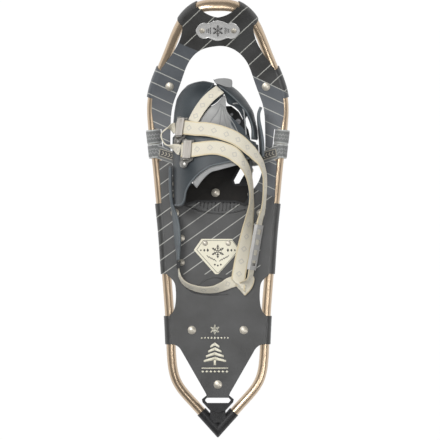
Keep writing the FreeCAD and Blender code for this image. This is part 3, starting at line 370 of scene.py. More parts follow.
# ================================================================ mesh helpers
def mesh_object(name, points, faces, mat, uvs=None, smooth=True):
    mesh = bpy.data.meshes.new(name)
    mesh.from_pydata([tuple(p) for p in points], [], faces)
    mesh.validate()
    mesh.materials.append(mat)
    if uvs is not None:
        layer = mesh.uv_layers.new(name="UVMap")
        index = np.empty(len(mesh.loops), dtype=np.int32)
        mesh.loops.foreach_get("vertex_index", index)
        layer.data.foreach_set("uv", np.asarray(uvs, dtype=np.float32)[index].ravel())
    if smooth:
        mesh.polygons.foreach_set("use_smooth", [True] * len(mesh.polygons))
    made = bpy.data.objects.new(name, mesh)
    bpy.context.scene.collection.objects.link(made)
    return made


def soften(obj, width=0.0004, segments=2, angle=35.0):
    """Round an object's sharp edges without changing its mesh."""
    bevel = obj.modifiers.new("edges", "BEVEL")
    bevel.width = width
    bevel.segments = segments
    bevel.limit_method = "ANGLE"
    bevel.angle_limit = math.radians(angle)
    bevel.harden_normals = True
    for polygon in obj.data.polygons:
        polygon.use_smooth = True


def spline(points, spacing):
    """Evenly spaced points on a smooth curve through points (rows of numbers, the first 3 a place)."""
    rows = np.array(points, float)
    ends = np.vstack([2 * rows[0] - rows[1], rows, 2 * rows[-1] - rows[-2]])
    fine = []
    for a, b, c, d in zip(ends, ends[1:], ends[2:], ends[3:]):
        for step in range(16):
            u = step / 16
            fine.append(0.5 * (2 * b + (c - a) * u + (2 * a - 5 * b + 4 * c - d) * u ** 2
                               + (3 * b - a - 3 * c + d) * u ** 3))
    fine.append(rows[-1])
    fine = np.array(fine)
    reached = np.concatenate([[0], np.cumsum(np.linalg.norm(np.diff(fine[:, :3], axis=0), axis=1))])
    count = max(2, int(round(reached[-1] / spacing)) + 1)
    wanted = np.linspace(0, reached[-1], count)
    return np.array([np.interp(wanted, reached, column) for column in fine.T]).T, reached[-1]


def tube_along(points, radius, sides=8, closed=False):
    """Points and faces of a round bead that follows points."""
    places = [Vector(p) for p in points]
    verts, faces = [], []
    count = len(places)
    reference = UP
    for index, place in enumerate(places):
        before = places[index - 1] if index or closed else place
        after = places[(index + 1) % count] if index + 1 < count or closed else place
        along = (after - before).normalized()
        side = along.cross(reference)
        if side.length < 0.05:
            side = along.cross(Vector((1, 0, 0)))
        side.normalize()
        lift = side.cross(along)
        for step in range(sides):
            turn = 2 * math.pi * step / sides
            verts.append(place + side * (radius * math.cos(turn)) + lift * (radius * math.sin(turn)))
    rings = count if closed else count - 1
    for index in range(rings):
        base, following = index * sides, ((index + 1) % count) * sides
        for step in range(sides):
            other = (step + 1) % sides
            faces.append((base + step, following + step, following + other, base + other))
    if not closed:
        faces.append(tuple(range(sides)))
        faces.append(tuple(reversed(range((count - 1) * sides, count * sides))))
    return verts, faces


class Gather:
    """Collects many small shapes into one mesh object."""

    def __init__(self):
        self.points, self.faces = [], []

    def add(self, points, faces):
        base = len(self.points)
        self.points += [tuple(p) for p in points]
        self.faces += [tuple(base + i for i in face) for face in faces]

    def bead(self, points, radius, sides=8, closed=False):
        self.add(*tube_along(points, radius, sides, closed))

    def done(self, name, mat, body):
        made = mesh_object(name, self.points, self.faces, mat)
        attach(made, body)
        return made


# ================================================================ the boot-shaped surface
PAD_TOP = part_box("footbed")[0][2] + 1.6 * MM
WALL_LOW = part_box("rear_wing")[0][2]
BOOT_POWER = 2.5
BOOT_STATIONS = np.array([
    (10.0, -3.0, 50.0, 66.0), (50.0, -3.0, 51.5, 68.0), (90.0, -3.0, 52.5, 66.0),
    (120.0, -3.6, 51.6, 60.0), (145.0, -5.4, 47.6, 52.0), (162.0, -9.2, 40.5, 45.0),
    (174.0, -11.0, 31.0, 38.0), (183.0, -12.0, 19.0, 30.0), (188.0, -12.5, 8.0, 24.0),
])
STATION_Y = np.arange(0.0, 201.0)
EASE = np.ones(9) / 9


def eased(column):
    fine = np.interp(STATION_Y, BOOT_STATIONS[:, 0], BOOT_STATIONS[:, column])
    return np.convolve(np.pad(fine, 4, "edge"), EASE, "valid")


MIDDLES, HALF_WIDTHS, HEIGHTS = eased(1), eased(2), eased(3)


def boot_size(y):
    """Middle, half-width and height of the boot at y, eased between the stations."""
    return (np.interp(y, STATION_Y, MIDDLES), np.interp(y, STATION_Y, HALF_WIDTHS),
            np.interp(y, STATION_Y, HEIGHTS))


def boot_at(angle, y, offset):
    """A point on the boot grown by offset: angle 0 is the right wall, 90 the top, 180 the left wall.

    Angles past 0 and 180 go straight down the walls, 20 degrees to the wall's lower edge."""
    middle, wide, tall = boot_size(y)
    turn = math.radians(min(max(angle, 0.0), 180.0))
    c, s = math.cos(turn), math.sin(turn)
    power = 2.0 / BOOT_POWER
    x = (wide + offset) * math.copysign(abs(c) ** power, c)
    z = (tall + offset) * abs(s) ** power
    below = max(-angle, angle - 180.0, 0.0)
    return Vector(((middle + x) * MM, y * MM, PAD_TOP + z * MM - below / 20.0 * (PAD_TOP - WALL_LOW)))


def angle_over(x, y, offset=3.6):
    middle, wide, tall = boot_size(y)
    part = min(0.9999, abs(x - middle) / (wide + offset))
    c = part ** (BOOT_POWER / 2.0)
    return math.degrees(math.acos(math.copysign(c, x - middle)))


def boot_top(x, y, offset):
    return boot_at(angle_over(x, y, offset), y, offset)


def boot_normal(x, y, offset):
    across = boot_top(x + 0.5, y, offset) - boot_top(x - 0.5, y, offset)
    along = boot_top(x, y + 0.5, offset) - boot_top(x, y - 0.5, offset)
    return across.cross(along).normalized()


def edge_line(points, count):
    """A smooth boundary of count points in (angle, y), from plan points or ((angle,), y) pairs."""
    rows = []
    for first, y in points:
        angle = first[0] if isinstance(first, tuple) else angle_over(first, y)
        rows.append((angle, y, 0.0))
    return resample(rows, count)


def resample(rows, count):
    fine = spline(rows, 0.5)[0]
    picks = np.linspace(0, len(fine) - 1, count)
    return np.array([np.interp(picks, np.arange(len(fine)), column) for column in fine.T]).T


def shell_patch(name, low, high, rear, front, inner, outer, mat, body, node, rows=64, columns=48, rim=0.5):
    """A moulded wrap between four boundary lines, with a rounded, slightly raised rim.

    low and high run from rear to front; rear and front run from low to high."""
    a, b = edge_line(low, rows), edge_line(high, rows)
    c, d = edge_line(rear, columns), edge_line(front, columns)
    verts, faces = [], []
    grid = []
    for i in range(rows):
        s = i / (rows - 1)
        for j in range(columns):
            t = j / (columns - 1)
            spot = (1 - t) * a[i] + t * b[i] + (1 - s) * c[j] + s * d[j]
            spot = spot - ((1 - s) * (1 - t) * a[0] + s * (1 - t) * a[-1]
                           + (1 - s) * t * b[0] + s * t * b[-1])
            grid.append(spot)
    middle = (inner + outer) / 2
    half = (outer - inner) / 2
    for side in (1, -1):
        for index, spot in enumerate(grid):
            i, j = divmod(index, columns)
            near = min(i, j, rows - 1 - i, columns - 1 - j)
            grow = (0.35, 0.8, 1.0)[near] if near < 3 else 1.0
            raised = rim if side > 0 and near in (1, 2) else 0.0
            verts.append(boot_at(spot[0], spot[1], middle + side * half * grow + raised))
    half_count = rows * columns
    for i in range(rows - 1):
        for j in range(columns - 1):
            p = i * columns + j
            quad = (p, p + 1, p + columns + 1, p + columns)
            faces.append(quad)
            faces.append(tuple(half_count + v for v in reversed(quad)))
    border = [(i, 0) for i in range(rows)] + [(rows - 1, j) for j in range(1, columns)]
    border += [(i, columns - 1) for i in range(rows - 2, -1, -1)]
    border += [(0, j) for j in range(columns - 2, 0, -1)]
    ring = [i * columns + j for i, j in border]
    for p, q in zip(ring, ring[1:] + ring[:1]):
        faces.append((p, q, half_count + q, half_count + p))
    made = mesh_object(name, verts, faces, mat)
    fix_normals(made)
    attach(made, body)
    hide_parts(node)
    return made, grid, rows, columns


def fix_normals(obj):
    work = bmesh.new()
    work.from_mesh(obj.data)
    bmesh.ops.recalc_face_normals(work, faces=work.faces)
    work.to_mesh(obj.data)
    work.free()


# ================================================================ wings
WALL_LEFT = (200.0,)
WALL_RIGHT = (-20.0,)
INNER, OUTER = (0.0, 2.0), (2.4, 4.8)

WINGS = {
    "toe_wing_left": (
        OUTER, "slate_shell",
        [(WALL_LEFT, 115), (WALL_LEFT, 136), (WALL_LEFT, 158), (WALL_LEFT, 178)],
        [(-42, 115), (-38, 126), (-30, 143), (-16, 163), (-5, 181)],
        [(WALL_LEFT, 115), ((184,), 115), (-49, 115), (-42, 115)],
        [(WALL_LEFT, 178), ((184,), 179.5), (-20, 184), (-5, 181)]),
    "toe_wing_right": (
        OUTER, "slate_shell",
        [(WALL_RIGHT, 106), (WALL_RIGHT, 130), (WALL_RIGHT, 148), ((-6,), 162), (20, 176), (8, 182.6),
         (-6, 186.2)],
        [(44.5, 106), (44, 124), (39, 137), (30, 150), (14, 166.5), (-1, 178)],
        [(WALL_RIGHT, 106), ((-2,), 106), ((16,), 106), (44.5, 106)],
        [(-6, 186.2), (-1, 178)]),
    # toe_lining: a real lining, widened under the toe strap into a dark sheet that also stands in for the
    # shade inside the toe.
    "toe_lining": (
        INNER, "slate_shell",
        [(-33, 138), (-30, 136.2), (-26.6, 134.8)],
        [(41, 138), (39, 134.4), (36.5, 131)],
        [(-33, 138), (-29, 146.5), (-16, 164.5), (-6, 178), (8, 175), (22, 165), (34, 152), (41, 138)],
        [(-25.9, 133.9), (-8.3, 150.9), (8.4, 165), (11.6, 164.8), (14, 154), (24, 149), (31.5, 141.6),
         (36.5, 131)]),
    "instep_wing": (
        INNER, "grey_shell",
        [(WALL_RIGHT, 86), (WALL_RIGHT, 95), ((-14,), 102), (46.5, 104), (34, 121.5), (20, 134.5),
         (12, 145), (10.6, 164)],
        [(-34, 92), (-40, 112), (-39, 123), (-26, 133), (-8, 150), (8, 164.5)],
        [(WALL_RIGHT, 86), ((0,), 86), (30, 85), (0, 84), (-34, 92)],
        [(10.6, 164), (8, 164.5)]),
    "rear_wing": (
        OUTER, "slate_shell",
        [(WALL_LEFT, 18), (WALL_LEFT, 48), (WALL_LEFT, 80), (WALL_LEFT, 111)],
        [(WALL_RIGHT, 83), (WALL_RIGHT, 92), (WALL_RIGHT, 100)],
        [(WALL_LEFT, 18), ((176,), 18), (-46, 19), (-41, 37), (-33, 50.5), (-20, 63.5), (0, 72.5),
         (24, 77.5), (44, 81.5), ((0,), 83), (WALL_RIGHT, 83)],
        [(WALL_LEFT, 111), ((180,), 111), (-34, 111), (-12, 108), (20, 106), (44, 101), ((0,), 100),
         (WALL_RIGHT, 100)]),
    "ankle_liner": (
        INNER, "grey_shell",
        [(-29, 41.5), (-33, 46), (-35, 52), (-36, 58)],
        [(38, 74), (38, 78), (38, 82)],
        [(-29, 41.5), (-18, 55), (-4, 64), (22, 70.5), (38, 74)],
        [(-36, 58), (-26, 68), (-6, 78), (20, 81), (38, 82)]),
}
# Wings whose finish is their own, not their slot's.
OWN_SKINS = {"instep_wing": instep_skin()}
PATCHES = {}
for label, ((inner, outer), finish, low, high, rear, front) in WINGS.items():
    skin = OWN_SKINS.get(label, MATS[finish])
    patch, grid, rows, columns = shell_patch(
        label + "_shell", low, high, rear, front, inner, outer, skin, "binding", label)
    PATCHES[label] = (grid, rows, columns, outer)


def on_patch(label, s, t, lift=0.0):
    """A point on a wing's outer face: s runs from its rear edge to its front edge, t across it."""
    grid, rows, columns, outer = PATCHES[label]
    row, column = s * (rows - 1), t * (columns - 1)
    i, j = min(int(row), rows - 2), min(int(column), columns - 2)
    u, v = row - i, column - j
    spot = ((1 - u) * (1 - v) * grid[i * columns + j] + u * (1 - v) * grid[(i + 1) * columns + j]
            + (1 - u) * v * grid[i * columns + j + 1] + u * v * grid[(i + 1) * columns + j + 1])
    return boot_at(spot[0], spot[1], outer + lift)


def wing_line(gather, label, marks, radius, lift=0.0, count=40):
    """A bead along (s, t) marks on a wing."""
    path, reach = spline([(s, t, 0.0) for s, t in marks], 0.004)
    picks = np.linspace(0, len(path) - 1, count).astype(int)
    gather.bead([on_patch(label, path[k][0], path[k][1], lift) for k in picks], radius * MM)


# The light tongue under the toe band.
tab = Gather()
TAB_ROWS = [(-5.0, 186.0, 181.0), (2.0, 187.4, 179.0), (9.0, 187.8, 176.0), (15.0, 187.2, 174.4),
            (19.5, 185.6, 175.4)]
for face in (1, -1):
    for x, ahead, behind in TAB_ROWS:
        for part in (0.0, 0.5, 1.0):
            y = ahead + (behind - ahead) * part
            drop = 0.05 * (x - 2.0) ** 2 * 0.35
            tab.points.append(tuple(Vector((x, y, 83.6 - drop + part * 4.2 + face * 0.8)) * MM))
ROWS = len(TAB_ROWS)
for row in range(ROWS - 1):
    for part in (0, 1):
        corner = row * 3 + part
        quad = (corner, corner + 3, corner + 4, corner + 1)
        tab.faces += [quad, tuple(ROWS * 3 + v for v in reversed(quad))]
ring = [row * 3 for row in range(ROWS)] + [ROWS * 3 - 2, ROWS * 3 - 1]
ring += [row * 3 + 2 for row in reversed(range(ROWS - 1))] + [1]
for a, b in zip(ring, ring[1:] + ring[:1]):
    tab.faces.append((a, b, ROWS * 3 + b, ROWS * 3 + a))
tab = mesh_object("toe_tab", tab.points, tab.faces, MATS["grey_shell"])
fix_normals(tab)
rounding = tab.modifiers.new("round", "SUBSURF")
rounding.levels = rounding.render_levels = 2
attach(tab, "binding")

ribs = Gather()
for t in (0.30, 0.42, 0.54, 0.66, 0.78):
    wing_line(ribs, "instep_wing", [(0.30, t), (0.55, t + 0.02), (0.86, t)], 0.7, 0.1)
ribs = ribs.done("instep_ribs", MATS["grey_shell"], "binding")

piping = Gather()
wing_line(piping, "rear_wing", [(0.02, 0.10), (0.02, 0.5), (0.02, 0.9)], 1.0, 0.2, 90)
wing_line(piping, "toe_wing_right", [(0.03, 0.97), (0.5, 0.97), (0.97, 0.97)], 0.9, 0.2, 70)
wing_line(piping, "toe_wing_left", [(0.03, 0.97), (0.5, 0.97), (0.97, 0.97)], 0.8, 0.2, 70)
piping = piping.done("wing_piping", MATS["slate_rubber"], "binding")

# The pale inner edge of the toe band's lining.
trim = Gather()
TRIM_LINE = [(19.9, 153.3), (27.3, 153.4), (33.3, 146.6), (35.5, 134.7), (36.6, 122.0), (37.4, 112.0)]
trim_path = spline([(x, y, 0) for x, y in TRIM_LINE], 2.0)[0]
trim.bead([boot_top(x, y, 3.0) for x, y, unused in trim_path], 1.0 * MM)
trim = trim.done("toe_band_trim", MATS["grey_shell"], "binding")


# ================================================================ webbing and rubber arms
ACROSS = (-1.0, -0.985, -0.94, -0.85, -0.7, -0.5, -0.25, 0.0, 0.25, 0.5, 0.7, 0.85, 0.94, 0.985, 1.0)


def strap_mesh(name, stations, wide, thick, mat, slant=0.0, spacing=2.0):
    """A flat strap with rounded edges. Each station is its centre and its width direction, in mm.
    slant cuts its last end on the skew, by that much at each edge."""
    rows = [(*centre, *direction) for centre, direction in stations]
    path, reach = spline(rows, spacing)
    points, uvs, faces = [], [], []
    ring = [(u, 1) for u in ACROSS] + [(u, -1) for u in reversed(ACROSS[1:-1])]
    for index, row in enumerate(path):
        centre, side = Vector(row[:3]), Vector(row[3:6])
        before, after = path[max(index - 1, 0)], path[min(index + 1, len(path) - 1)]
        along = Vector(after[:3] - before[:3]).normalized()
        side = (side - along * side.dot(along)).normalized()
        normal = along.cross(side)
        done = index * reach / (len(path) - 1)
        skew = slant * max(0.0, 1 - (reach - done) / 24.0)
        for u, face in ring:
            half = thick / 2 * (1 - abs(u) ** 12) ** 0.5
            spot = centre + side * (u * wide / 2) + normal * (face * half) + along * (u * skew)
            points.append(spot * MM)
            uvs.append((u * wide / 2 * MM, (done + u * skew) * MM))
    size = len(ring)
    for index in range(len(path) - 1):
        for step in range(size):
            other = (step + 1) % size
            base, following = index * size, (index + 1) * size
            faces.append((base + step, base + other, following + other, following + step))
    faces.append(tuple(reversed(range(size))))
    faces.append(tuple(range((len(path) - 1) * size, len(path) * size)))
    made = mesh_object(name, points, faces, mat, uvs)
    fix_normals(made)
    return made


def over_boot(places, offset):
    stations = []
    for index, (x, y) in enumerate(places):
        ax, ay = places[max(index - 1, 0)]
        bx, by = places[min(index + 1, len(places) - 1)]
        along = boot_top(bx, by, offset) - boot_top(ax, ay, offset)
        stations.append((boot_top(x, y, offset) / MM, boot_normal(x, y, offset).cross(along).normalized()))
    return stations


def rolled(rows):
    """Stations from (x, y, z, roll): roll 0 lies flat and 90 stands on its edge."""
    stations = []
    for index, (x, y, z, roll) in enumerate(rows):
        ax, ay = rows[max(index - 1, 0)][:2]
        bx, by = rows[min(index + 1, len(rows) - 1)][:2]
        flat_side = UP.cross(Vector((bx - ax, by - ay, 0)).normalized())
        angle = math.radians(roll)
        stations.append((Vector((x, y, z)), flat_side * math.cos(angle) + UP * math.sin(angle)))
    return stations


BUCKLE_OFFSET = 5.7
WEB_UP = 2.4
BUCKLES = {"front": (-47.5, 121.0), "rear": (-39.5, 91.5)}
WEB_LAYER = 6.6


def buckle_matrix(name):
    """X along the webbing towards the foot's middle, Y forward, Z out of the wall."""
    x, y = BUCKLES[name]
    origin, normal = boot_top(x, y, BUCKLE_OFFSET), boot_normal(x, y, BUCKLE_OFFSET)
    across = normal.cross(Vector((0, 1, 0)).cross(normal)).normalized()
    ahead = across.cross(normal)
    turn = Matrix((ahead, across, normal)).transposed().to_4x4()
    return Matrix.Translation(origin) @ turn


def through_buckle(name, reaches):
    place = buckle_matrix(name)
    across = place.to_3x3() @ Vector((0, 1, 0))
    return [(place @ Vector((reach * MM, 0, WEB_UP * MM)) / MM, across) for reach in reaches]


SLIDE_FRONT, SLIDE_BACK, SLIDE_ROLL = Vector((56, -2, 51.3)), Vector((43.2, -76, 51.3)), -68.0


def on_slide(y, roll=SLIDE_ROLL):
    part = (SLIDE_FRONT.y - y) / (SLIDE_FRONT.y - SLIDE_BACK.y)
    return (*SLIDE_FRONT.lerp(SLIDE_BACK, part), roll)


TOE_STRAP = [(-33, 129), (-27, 140), (-19, 152), (-9, 163), (3, 172.5)]
BALL_OVER = [(-28, 119.5), (-16, 119), (-3, 116.5), (10, 112.5), (22, 107.5), (32, 101), (40, 94)]
BALL_DOWN = [(48, 86.5, 98.5, -48), (56.6, 76, 91, -66), (61.4, 62, 81, -75), (62.6, 48, 71.5, -76),
             (62.2, 32, 61.8, -77), (60.2, 14, 55, -74), on_slide(-2), on_slide(-30), on_slide(-58)]
INSTEP_OVER = [(-16, 94), (-3, 94.5), (10, 91.5), (22, 85.5)]
INSTEP_DOWN = [(33.8, 73, 108.5, -52), (40.4, 60, 97, -68), (44.2, 42, 79, -76), (44.4, 24, 65, -75),
               (42.4, 5, 54.8, -58), (39, -16, 49, -36), (35, -38, 45.8, -16), (31, -58, 44.6, -2),
               (28.2, -74, 44.6, 0), (27, -88, 44.6, 0)]
FOLD_STRAP = [(30, -95, 40.4, 4), (36, -89.5, 42.6, 20), (40.6, -83, 47.4, 46), on_slide(-77, 68),
              on_slide(-71, 68), on_slide(-62, 68)]
PULL_LOOP = [(-67.5, 120.5, 84, 70), (-74.5, 113.5, 84, 84), (-73, 104.5, 86, 88), (-65, 97, 90, 82)]
HEEL_STRAP = [(-52.5, -55, 50.8, 90), (-52.2, -66, 50.6, 88), (-50, -77, 49.6, 78),
              (-43.5, -85.5, 48.4, 68), (-33, -91, 46.6, 60), (-20, -94, 46, 56),
              (-6, -93.5, 45.4, 50), (6, -89.5, 43.6, 36), (15, -85, 41.2, 16), (24, -82, 40.2, 8)]
HEEL_ARM_LEFT = [(-63, 70, 64, 90), (-63.2, 50, 61, 90), (-62.4, 32, 58, 90), (-60.6, 19, 56, 88),
                 (-57.4, 6, 54.2, 76), (-55, -10, 52.9, 69), (-53.7, -29, 51.8, 71),
                 (-53.1, -44, 51.2, 82), (-52.8, -54, 51, 89)]
TOE_ARM_RIGHT = [(57.2, 149, 67, 90), (54.6, 142, 66, 90), (54.4, 133, 64.5, 88),
                 (56.2, 120, 62, 82), (58, 106, 60, 78), (58.7, 94, 59, 78),
                 (58.5, 84, 58, 80)]
RIGHT_WALL = [(43.2, 80, 51.2, 102), (43.2, 50, 51.2, 102), (43, 20, 51.2, 102)]

loop_middle = [(centre, Vector((0, across.y * 0.3, 1))) for centre, across in rolled(PULL_LOOP)]
STRAPS = {
    "toe_strap": (over_boot(TOE_STRAP, WEB_LAYER), 15.0, 1.7, "cream_webbing"),
    "ball_strap": (through_buckle("front", (-9, 6, 11)) + over_boot(BALL_OVER, WEB_LAYER + 2)
                   + rolled(BALL_DOWN), 19.0, 1.7, "cream_webbing"),
    "instep_strap": (through_buckle("rear", (-9, 6, 11)) + over_boot(INSTEP_OVER, WEB_LAYER + 0.6)
                     + rolled(INSTEP_DOWN), 19.0, 1.7, "cream_webbing"),
    "fold_strap": (rolled(FOLD_STRAP), 19.0, 1.7, "cream_webbing"),
    "pull_loop": (through_buckle("front", (-10.5,)) + loop_middle + through_buckle("rear", (-10.5,)),
                  14.0, 1.7, "cream_webbing"),
    "heel_strap": (rolled(HEEL_STRAP), 15.2, 1.7, "cream_webbing"),
    "heel_arm_left": (rolled(HEEL_ARM_LEFT), 19.0, 4.4, "slate_rubber"),
    "toe_arm_right": (rolled(TOE_ARM_RIGHT), 18.0, 4.2, "slate_rubber"),
    "side_wall_right": (rolled(RIGHT_WALL), 22.0, 2.4, "slate_shell"),
}
SLANTS = {"instep_strap": 8.0}
# Each strap becomes a band on the binding, and its part is hidden.
for label, (stations, wide, thick, finish) in STRAPS.items():
    made = strap_mesh(label + "_band", stations, wide, thick, MATS[finish], slant=SLANTS.get(label, 0.0))
    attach(made, "binding")
    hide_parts(label)


# Grip ridges on the levers, in each buckle's own axes.
for name in BUCKLES:
    place = buckle_matrix(name)
    grips = Gather()
    for x, z in ((4.4, 8.75), (6.4, 8.65), (8.2, 8.5)):
        grips.bead([place @ (Vector((x, y, z)) * MM) for y in (-10.2, -4, 4, 10.2)], 0.45 * MM)
    grips = grips.done("lever_grip_" + name, MATS["lever_plastic"], "lever_" + name)


# ================================================================ the frame's curved surface
TUBE_LEVEL, BEND_START, BEND_RADIUS = 26.0, 130.0, 217.0
DECK_TOP = 10.9


def on_deck(x, y, lift=0.0):
    """The point lift above the deck's top face, which rises over the nose."""
    level = DECK_TOP + lift
    radius = BEND_RADIUS - level
    angle = math.asin(min(0.98, max(0.0, y - BEND_START) / radius))
    return Vector((x, y, TUBE_LEVEL + level + radius * (1 - math.cos(angle)))) * MM


def deck_bead(gather, points, radius, lift=0.0, spacing=2.5):
    """A ridge along plan points, its centre lift above the deck."""
    path, reach = spline([(x, y, 0.0) for x, y in points], spacing)
    gather.bead([on_deck(x, y, lift) for x, y, unused in path], radius * MM)


def tile(gather, corners, low, high):
    """A thin plate over plan corners (counter-clockwise), from low to high above the deck."""
    count = len(corners)
    points = [on_deck(x, y, high) for x, y in corners] + [on_deck(x, y, low) for x, y in corners]
    faces = [tuple(range(count)), tuple(reversed(range(count, 2 * count)))]
    faces += [(i, i + count, (i + 1) % count + count, (i + 1) % count) for i in range(count)]
    gather.add(points, faces)


def bar(gather, start, end, wide, low, high):
    a, b = Vector(start), Vector(end)
    side = (b - a).normalized()
    side = Vector((-side.y, side.x)) * (wide / 2)
    tile(gather, [a - side, b - side, b + side, a + side], low, high)


def snowflake(gather, x, y, size, wide, low, high):
    """Six arms, each with two pairs of side branches."""
    middle = Vector((x, y))
    for arm in range(6):
        turn = math.radians(60 * arm + 30)
        out = Vector((math.cos(turn), math.sin(turn)))
        bar(gather, middle + out * size * 0.08, middle + out * size, wide, low, high)
        for reach, branch in ((0.42, 0.26), (0.70, 0.20)):
            for swing in (-60, 60):
                turned = turn + math.radians(swing)
                tip = Vector((math.cos(turned), math.sin(turned))) * (size * branch)
                root = middle + out * size * reach
                bar(gather, root, root + tip, wide * 0.8, low, high)


def lozenge(gather, x, y, half_wide, half_tall, low, high):
    corners = [(x + half_wide, y), (x, y + half_tall), (x - half_wide, y), (x, y - half_tall)]
    tile(gather, corners, low, high)


# ================================================================ suspension straps
RAIL = [(88.6, 155.0), (88.4, 136.0), (82.1, 78.6), (77.0, 26.3)]
RAIL_PATH = spline([(x, y, 0.0) for x, y in RAIL], 1.0)[0]
TUBE_HALF_WIDE, TUBE_HALF_TALL = 6.35, 9.5
STRAP_IN, STRAP_OUT = 1.75, 3.7
ARM_REAR = [(88, 84.6), (84, 83.2), (78, 80.9), (66, 76.6), (52, 72.0), (43, 71.6), (34, 71.6)]
ARM_FRONT = [(88, 101.0), (84, 100.6), (74, 97.6), (62, 92.0), (52, 88.2), (43, 86.9), (34, 86.8)]
ARM_LOW = TUBE_LEVEL + TUBE_HALF_TALL + STRAP_IN


def rail_x(y):
    return np.interp(y, RAIL_PATH[::-1, 1], RAIL_PATH[::-1, 0])


def tube_wrap(y_front, y_back, side, rows=20, sides=48):
    """One closed turn of strap round the tube: points, faces and strap coordinates."""
    points, faces, uvs = [], [], []
    profile = []
    for index in range(rows):
        part = index / (rows - 1)
        edge = 1 - abs(2 * part - 1) ** 10
        profile.append((part, STRAP_OUT - 0.55 * (1 - edge)))
    profile += [(1.0, STRAP_IN), (0.0, STRAP_IN)]
    for part, offset in profile:
        y = y_front + (y_back - y_front) * part
        slope = rail_x(y + 1) - rail_x(y)
        out = Vector((1, -slope, 0)).normalized()
        centre = Vector((rail_x(y), y, TUBE_LEVEL))
        for step in range(sides):
            turn = 2 * math.pi * step / sides
            spot = centre + out * ((TUBE_HALF_WIDE + offset) * math.cos(turn))
            spot.z += (TUBE_HALF_TALL + offset) * math.sin(turn)
            points.append(Vector((side * spot.x, spot.y, spot.z)) * MM)
            uvs.append(((part - 0.5) * (y_front - y_back) * MM, turn * 11.0 * MM))
    count = len(profile)
    for index in range(count):
        following = (index + 1) % count
        for step in range(sides):
            other = (step + 1) % sides
            faces.append((index * sides + step, index * sides + other, following * sides + other,
                          following * sides + step))
    return points, faces, uvs


def strap_arm(side, rows=56, columns=15, thick=1.5):
    """The arm that runs inboard from the tube to the base plate."""
    rear = resample([(x, y, 0) for x, y in ARM_REAR], rows)
    front = resample([(x, y, 0) for x, y in ARM_FRONT], rows)
    points, faces, uvs = [], [], []
    for face in (1, -1):
        for i in range(rows):
            for j in range(columns):
                across = j / (columns - 1)
                spot = rear[i] * (1 - across) + front[i] * across
                half = thick / 2 * (1 - abs(2 * across - 1) ** 12) ** 0.5
                points.append(Vector((side * spot[0], spot[1], ARM_LOW + thick / 2 + face * half)) * MM)
                uvs.append(((across - 0.5) * 0.0165, i / (rows - 1) * 0.052))
    total = rows * columns
    for i in range(rows - 1):
        for j in range(columns - 1):
            p = i * columns + j
            faces.append((p, p + 1, p + columns + 1, p + columns))
            faces.append((total + p, total + p + columns, total + p + columns + 1, total + p + 1))
    for i in (0, rows - 1):
        for j in range(columns - 1):
            p = i * columns + j
            faces.append((p, p + 1, total + p + 1, total + p))
    return points, faces, uvs


# The printed patch on each arm: its middle, its direction and its outline along and across the arm.
PATCH_MIDDLE, PATCH_ALONG = Vector((68.6, 87.2)), Vector((-0.954, -0.300))
PATCH_ACROSS = Vector((-PATCH_ALONG.y, PATCH_ALONG.x))
PATCH_OUTLINE = [(-10.5, -4.6), (10.0, -4.6), (11.5, 4.6), (-9.0, 4.6)]
PATCH_LIFT = ARM_LOW + 1.5 - TUBE_LEVEL - DECK_TOP
MARKS = (PATCH_LIFT + 0.2, PATCH_LIFT + 0.42)


def on_arm(side, u, v):
    spot = PATCH_MIDDLE + PATCH_ALONG * u + PATCH_ACROSS * v
    return (side * spot.x, spot.y)


def blend_arm(obj):
    """Bake obj's placement into its mesh."""
    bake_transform(obj)


for side, label in ((1, "suspension_strap_right"), (-1, "suspension_strap_left")):
    points, faces, uvs = [], [], []
    for shape in (tube_wrap(120.6, 102.0, side), tube_wrap(101.5, 82.9, side), strap_arm(side)):
        base = len(points)
        points += shape[0]
        faces += [tuple(base + v for v in face) for face in shape[1]]
        uvs += shape[2]
    strap = mesh_object(label + "_web", points, faces, MATS["grey_webbing"], uvs)
    fix_normals(strap)
    blend_arm(strap)
    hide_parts(label)
    patch, marks = Gather(), Gather()
    outline = [on_arm(side, u, v) for u, v in PATCH_OUTLINE]
    facing = outline if side > 0 else list(reversed(outline))
    tile(patch, facing, PATCH_LIFT - 0.05, PATCH_LIFT + 0.30)
    for a, b in zip(outline, outline[1:] + outline[:1]):
        bar(marks, a, b, 0.7, *MARKS)
    for step in range(4):
        u = -6.4 + step * 4.3
        tip = on_arm(side, u + 2.4, 0.0)
        bar(marks, on_arm(side, u, -2.6), tip, 1.0, *MARKS)
        bar(marks, tip, on_arm(side, u, 2.6), 1.0, *MARKS)
    for gather, tag, mat in ((patch, "_patch", INK), (marks, "_marks", THREAD)):
        made = mesh_object(label + tag, gather.points, gather.faces, mat, smooth=False)
        fix_normals(made)
        blend_arm(made)

# Printed on the tail: a snowflake, a row of lozenges, a tree of chevrons, and a lined border.
# Each print runs from its low to its high face above the deck.
PRINT = (0.03, 0.12)
tail = Gather()
snowflake(tail, -4, -147.5, 6.5, 1.1, *PRINT)
for step in range(-4, 5):
    lozenge(tail, -4 + step * 4.4, -158.5, 1.7 - 0.12 * abs(step), 1.7 - 0.12 * abs(step), *PRINT)
for row, half in enumerate((6.0, 9.0, 12.0, 15.0)):
    top = -164.5 - 6.4 * row
    for side in (-1, 1):
        corners = [(-4, top), (-4, top - 4.2), (-4 + side * half, top - 7.4), (-4 + side * half, top - 4.6)]
        tile(tail, corners if side < 0 else list(reversed(corners)), *PRINT)
bar(tail, (-4, -187.5), (-4, -195), 3.0, *PRINT)
bar(tail, (-22, -199.0), (14, -199.0), 1.3, *PRINT)
for step in range(-3, 4):
    lozenge(tail, -4 + step * 5.4, -203.6, 2.0, 1.6, *PRINT)
tail = tail.done("tail_print", CREAM_PRINT, "frame")

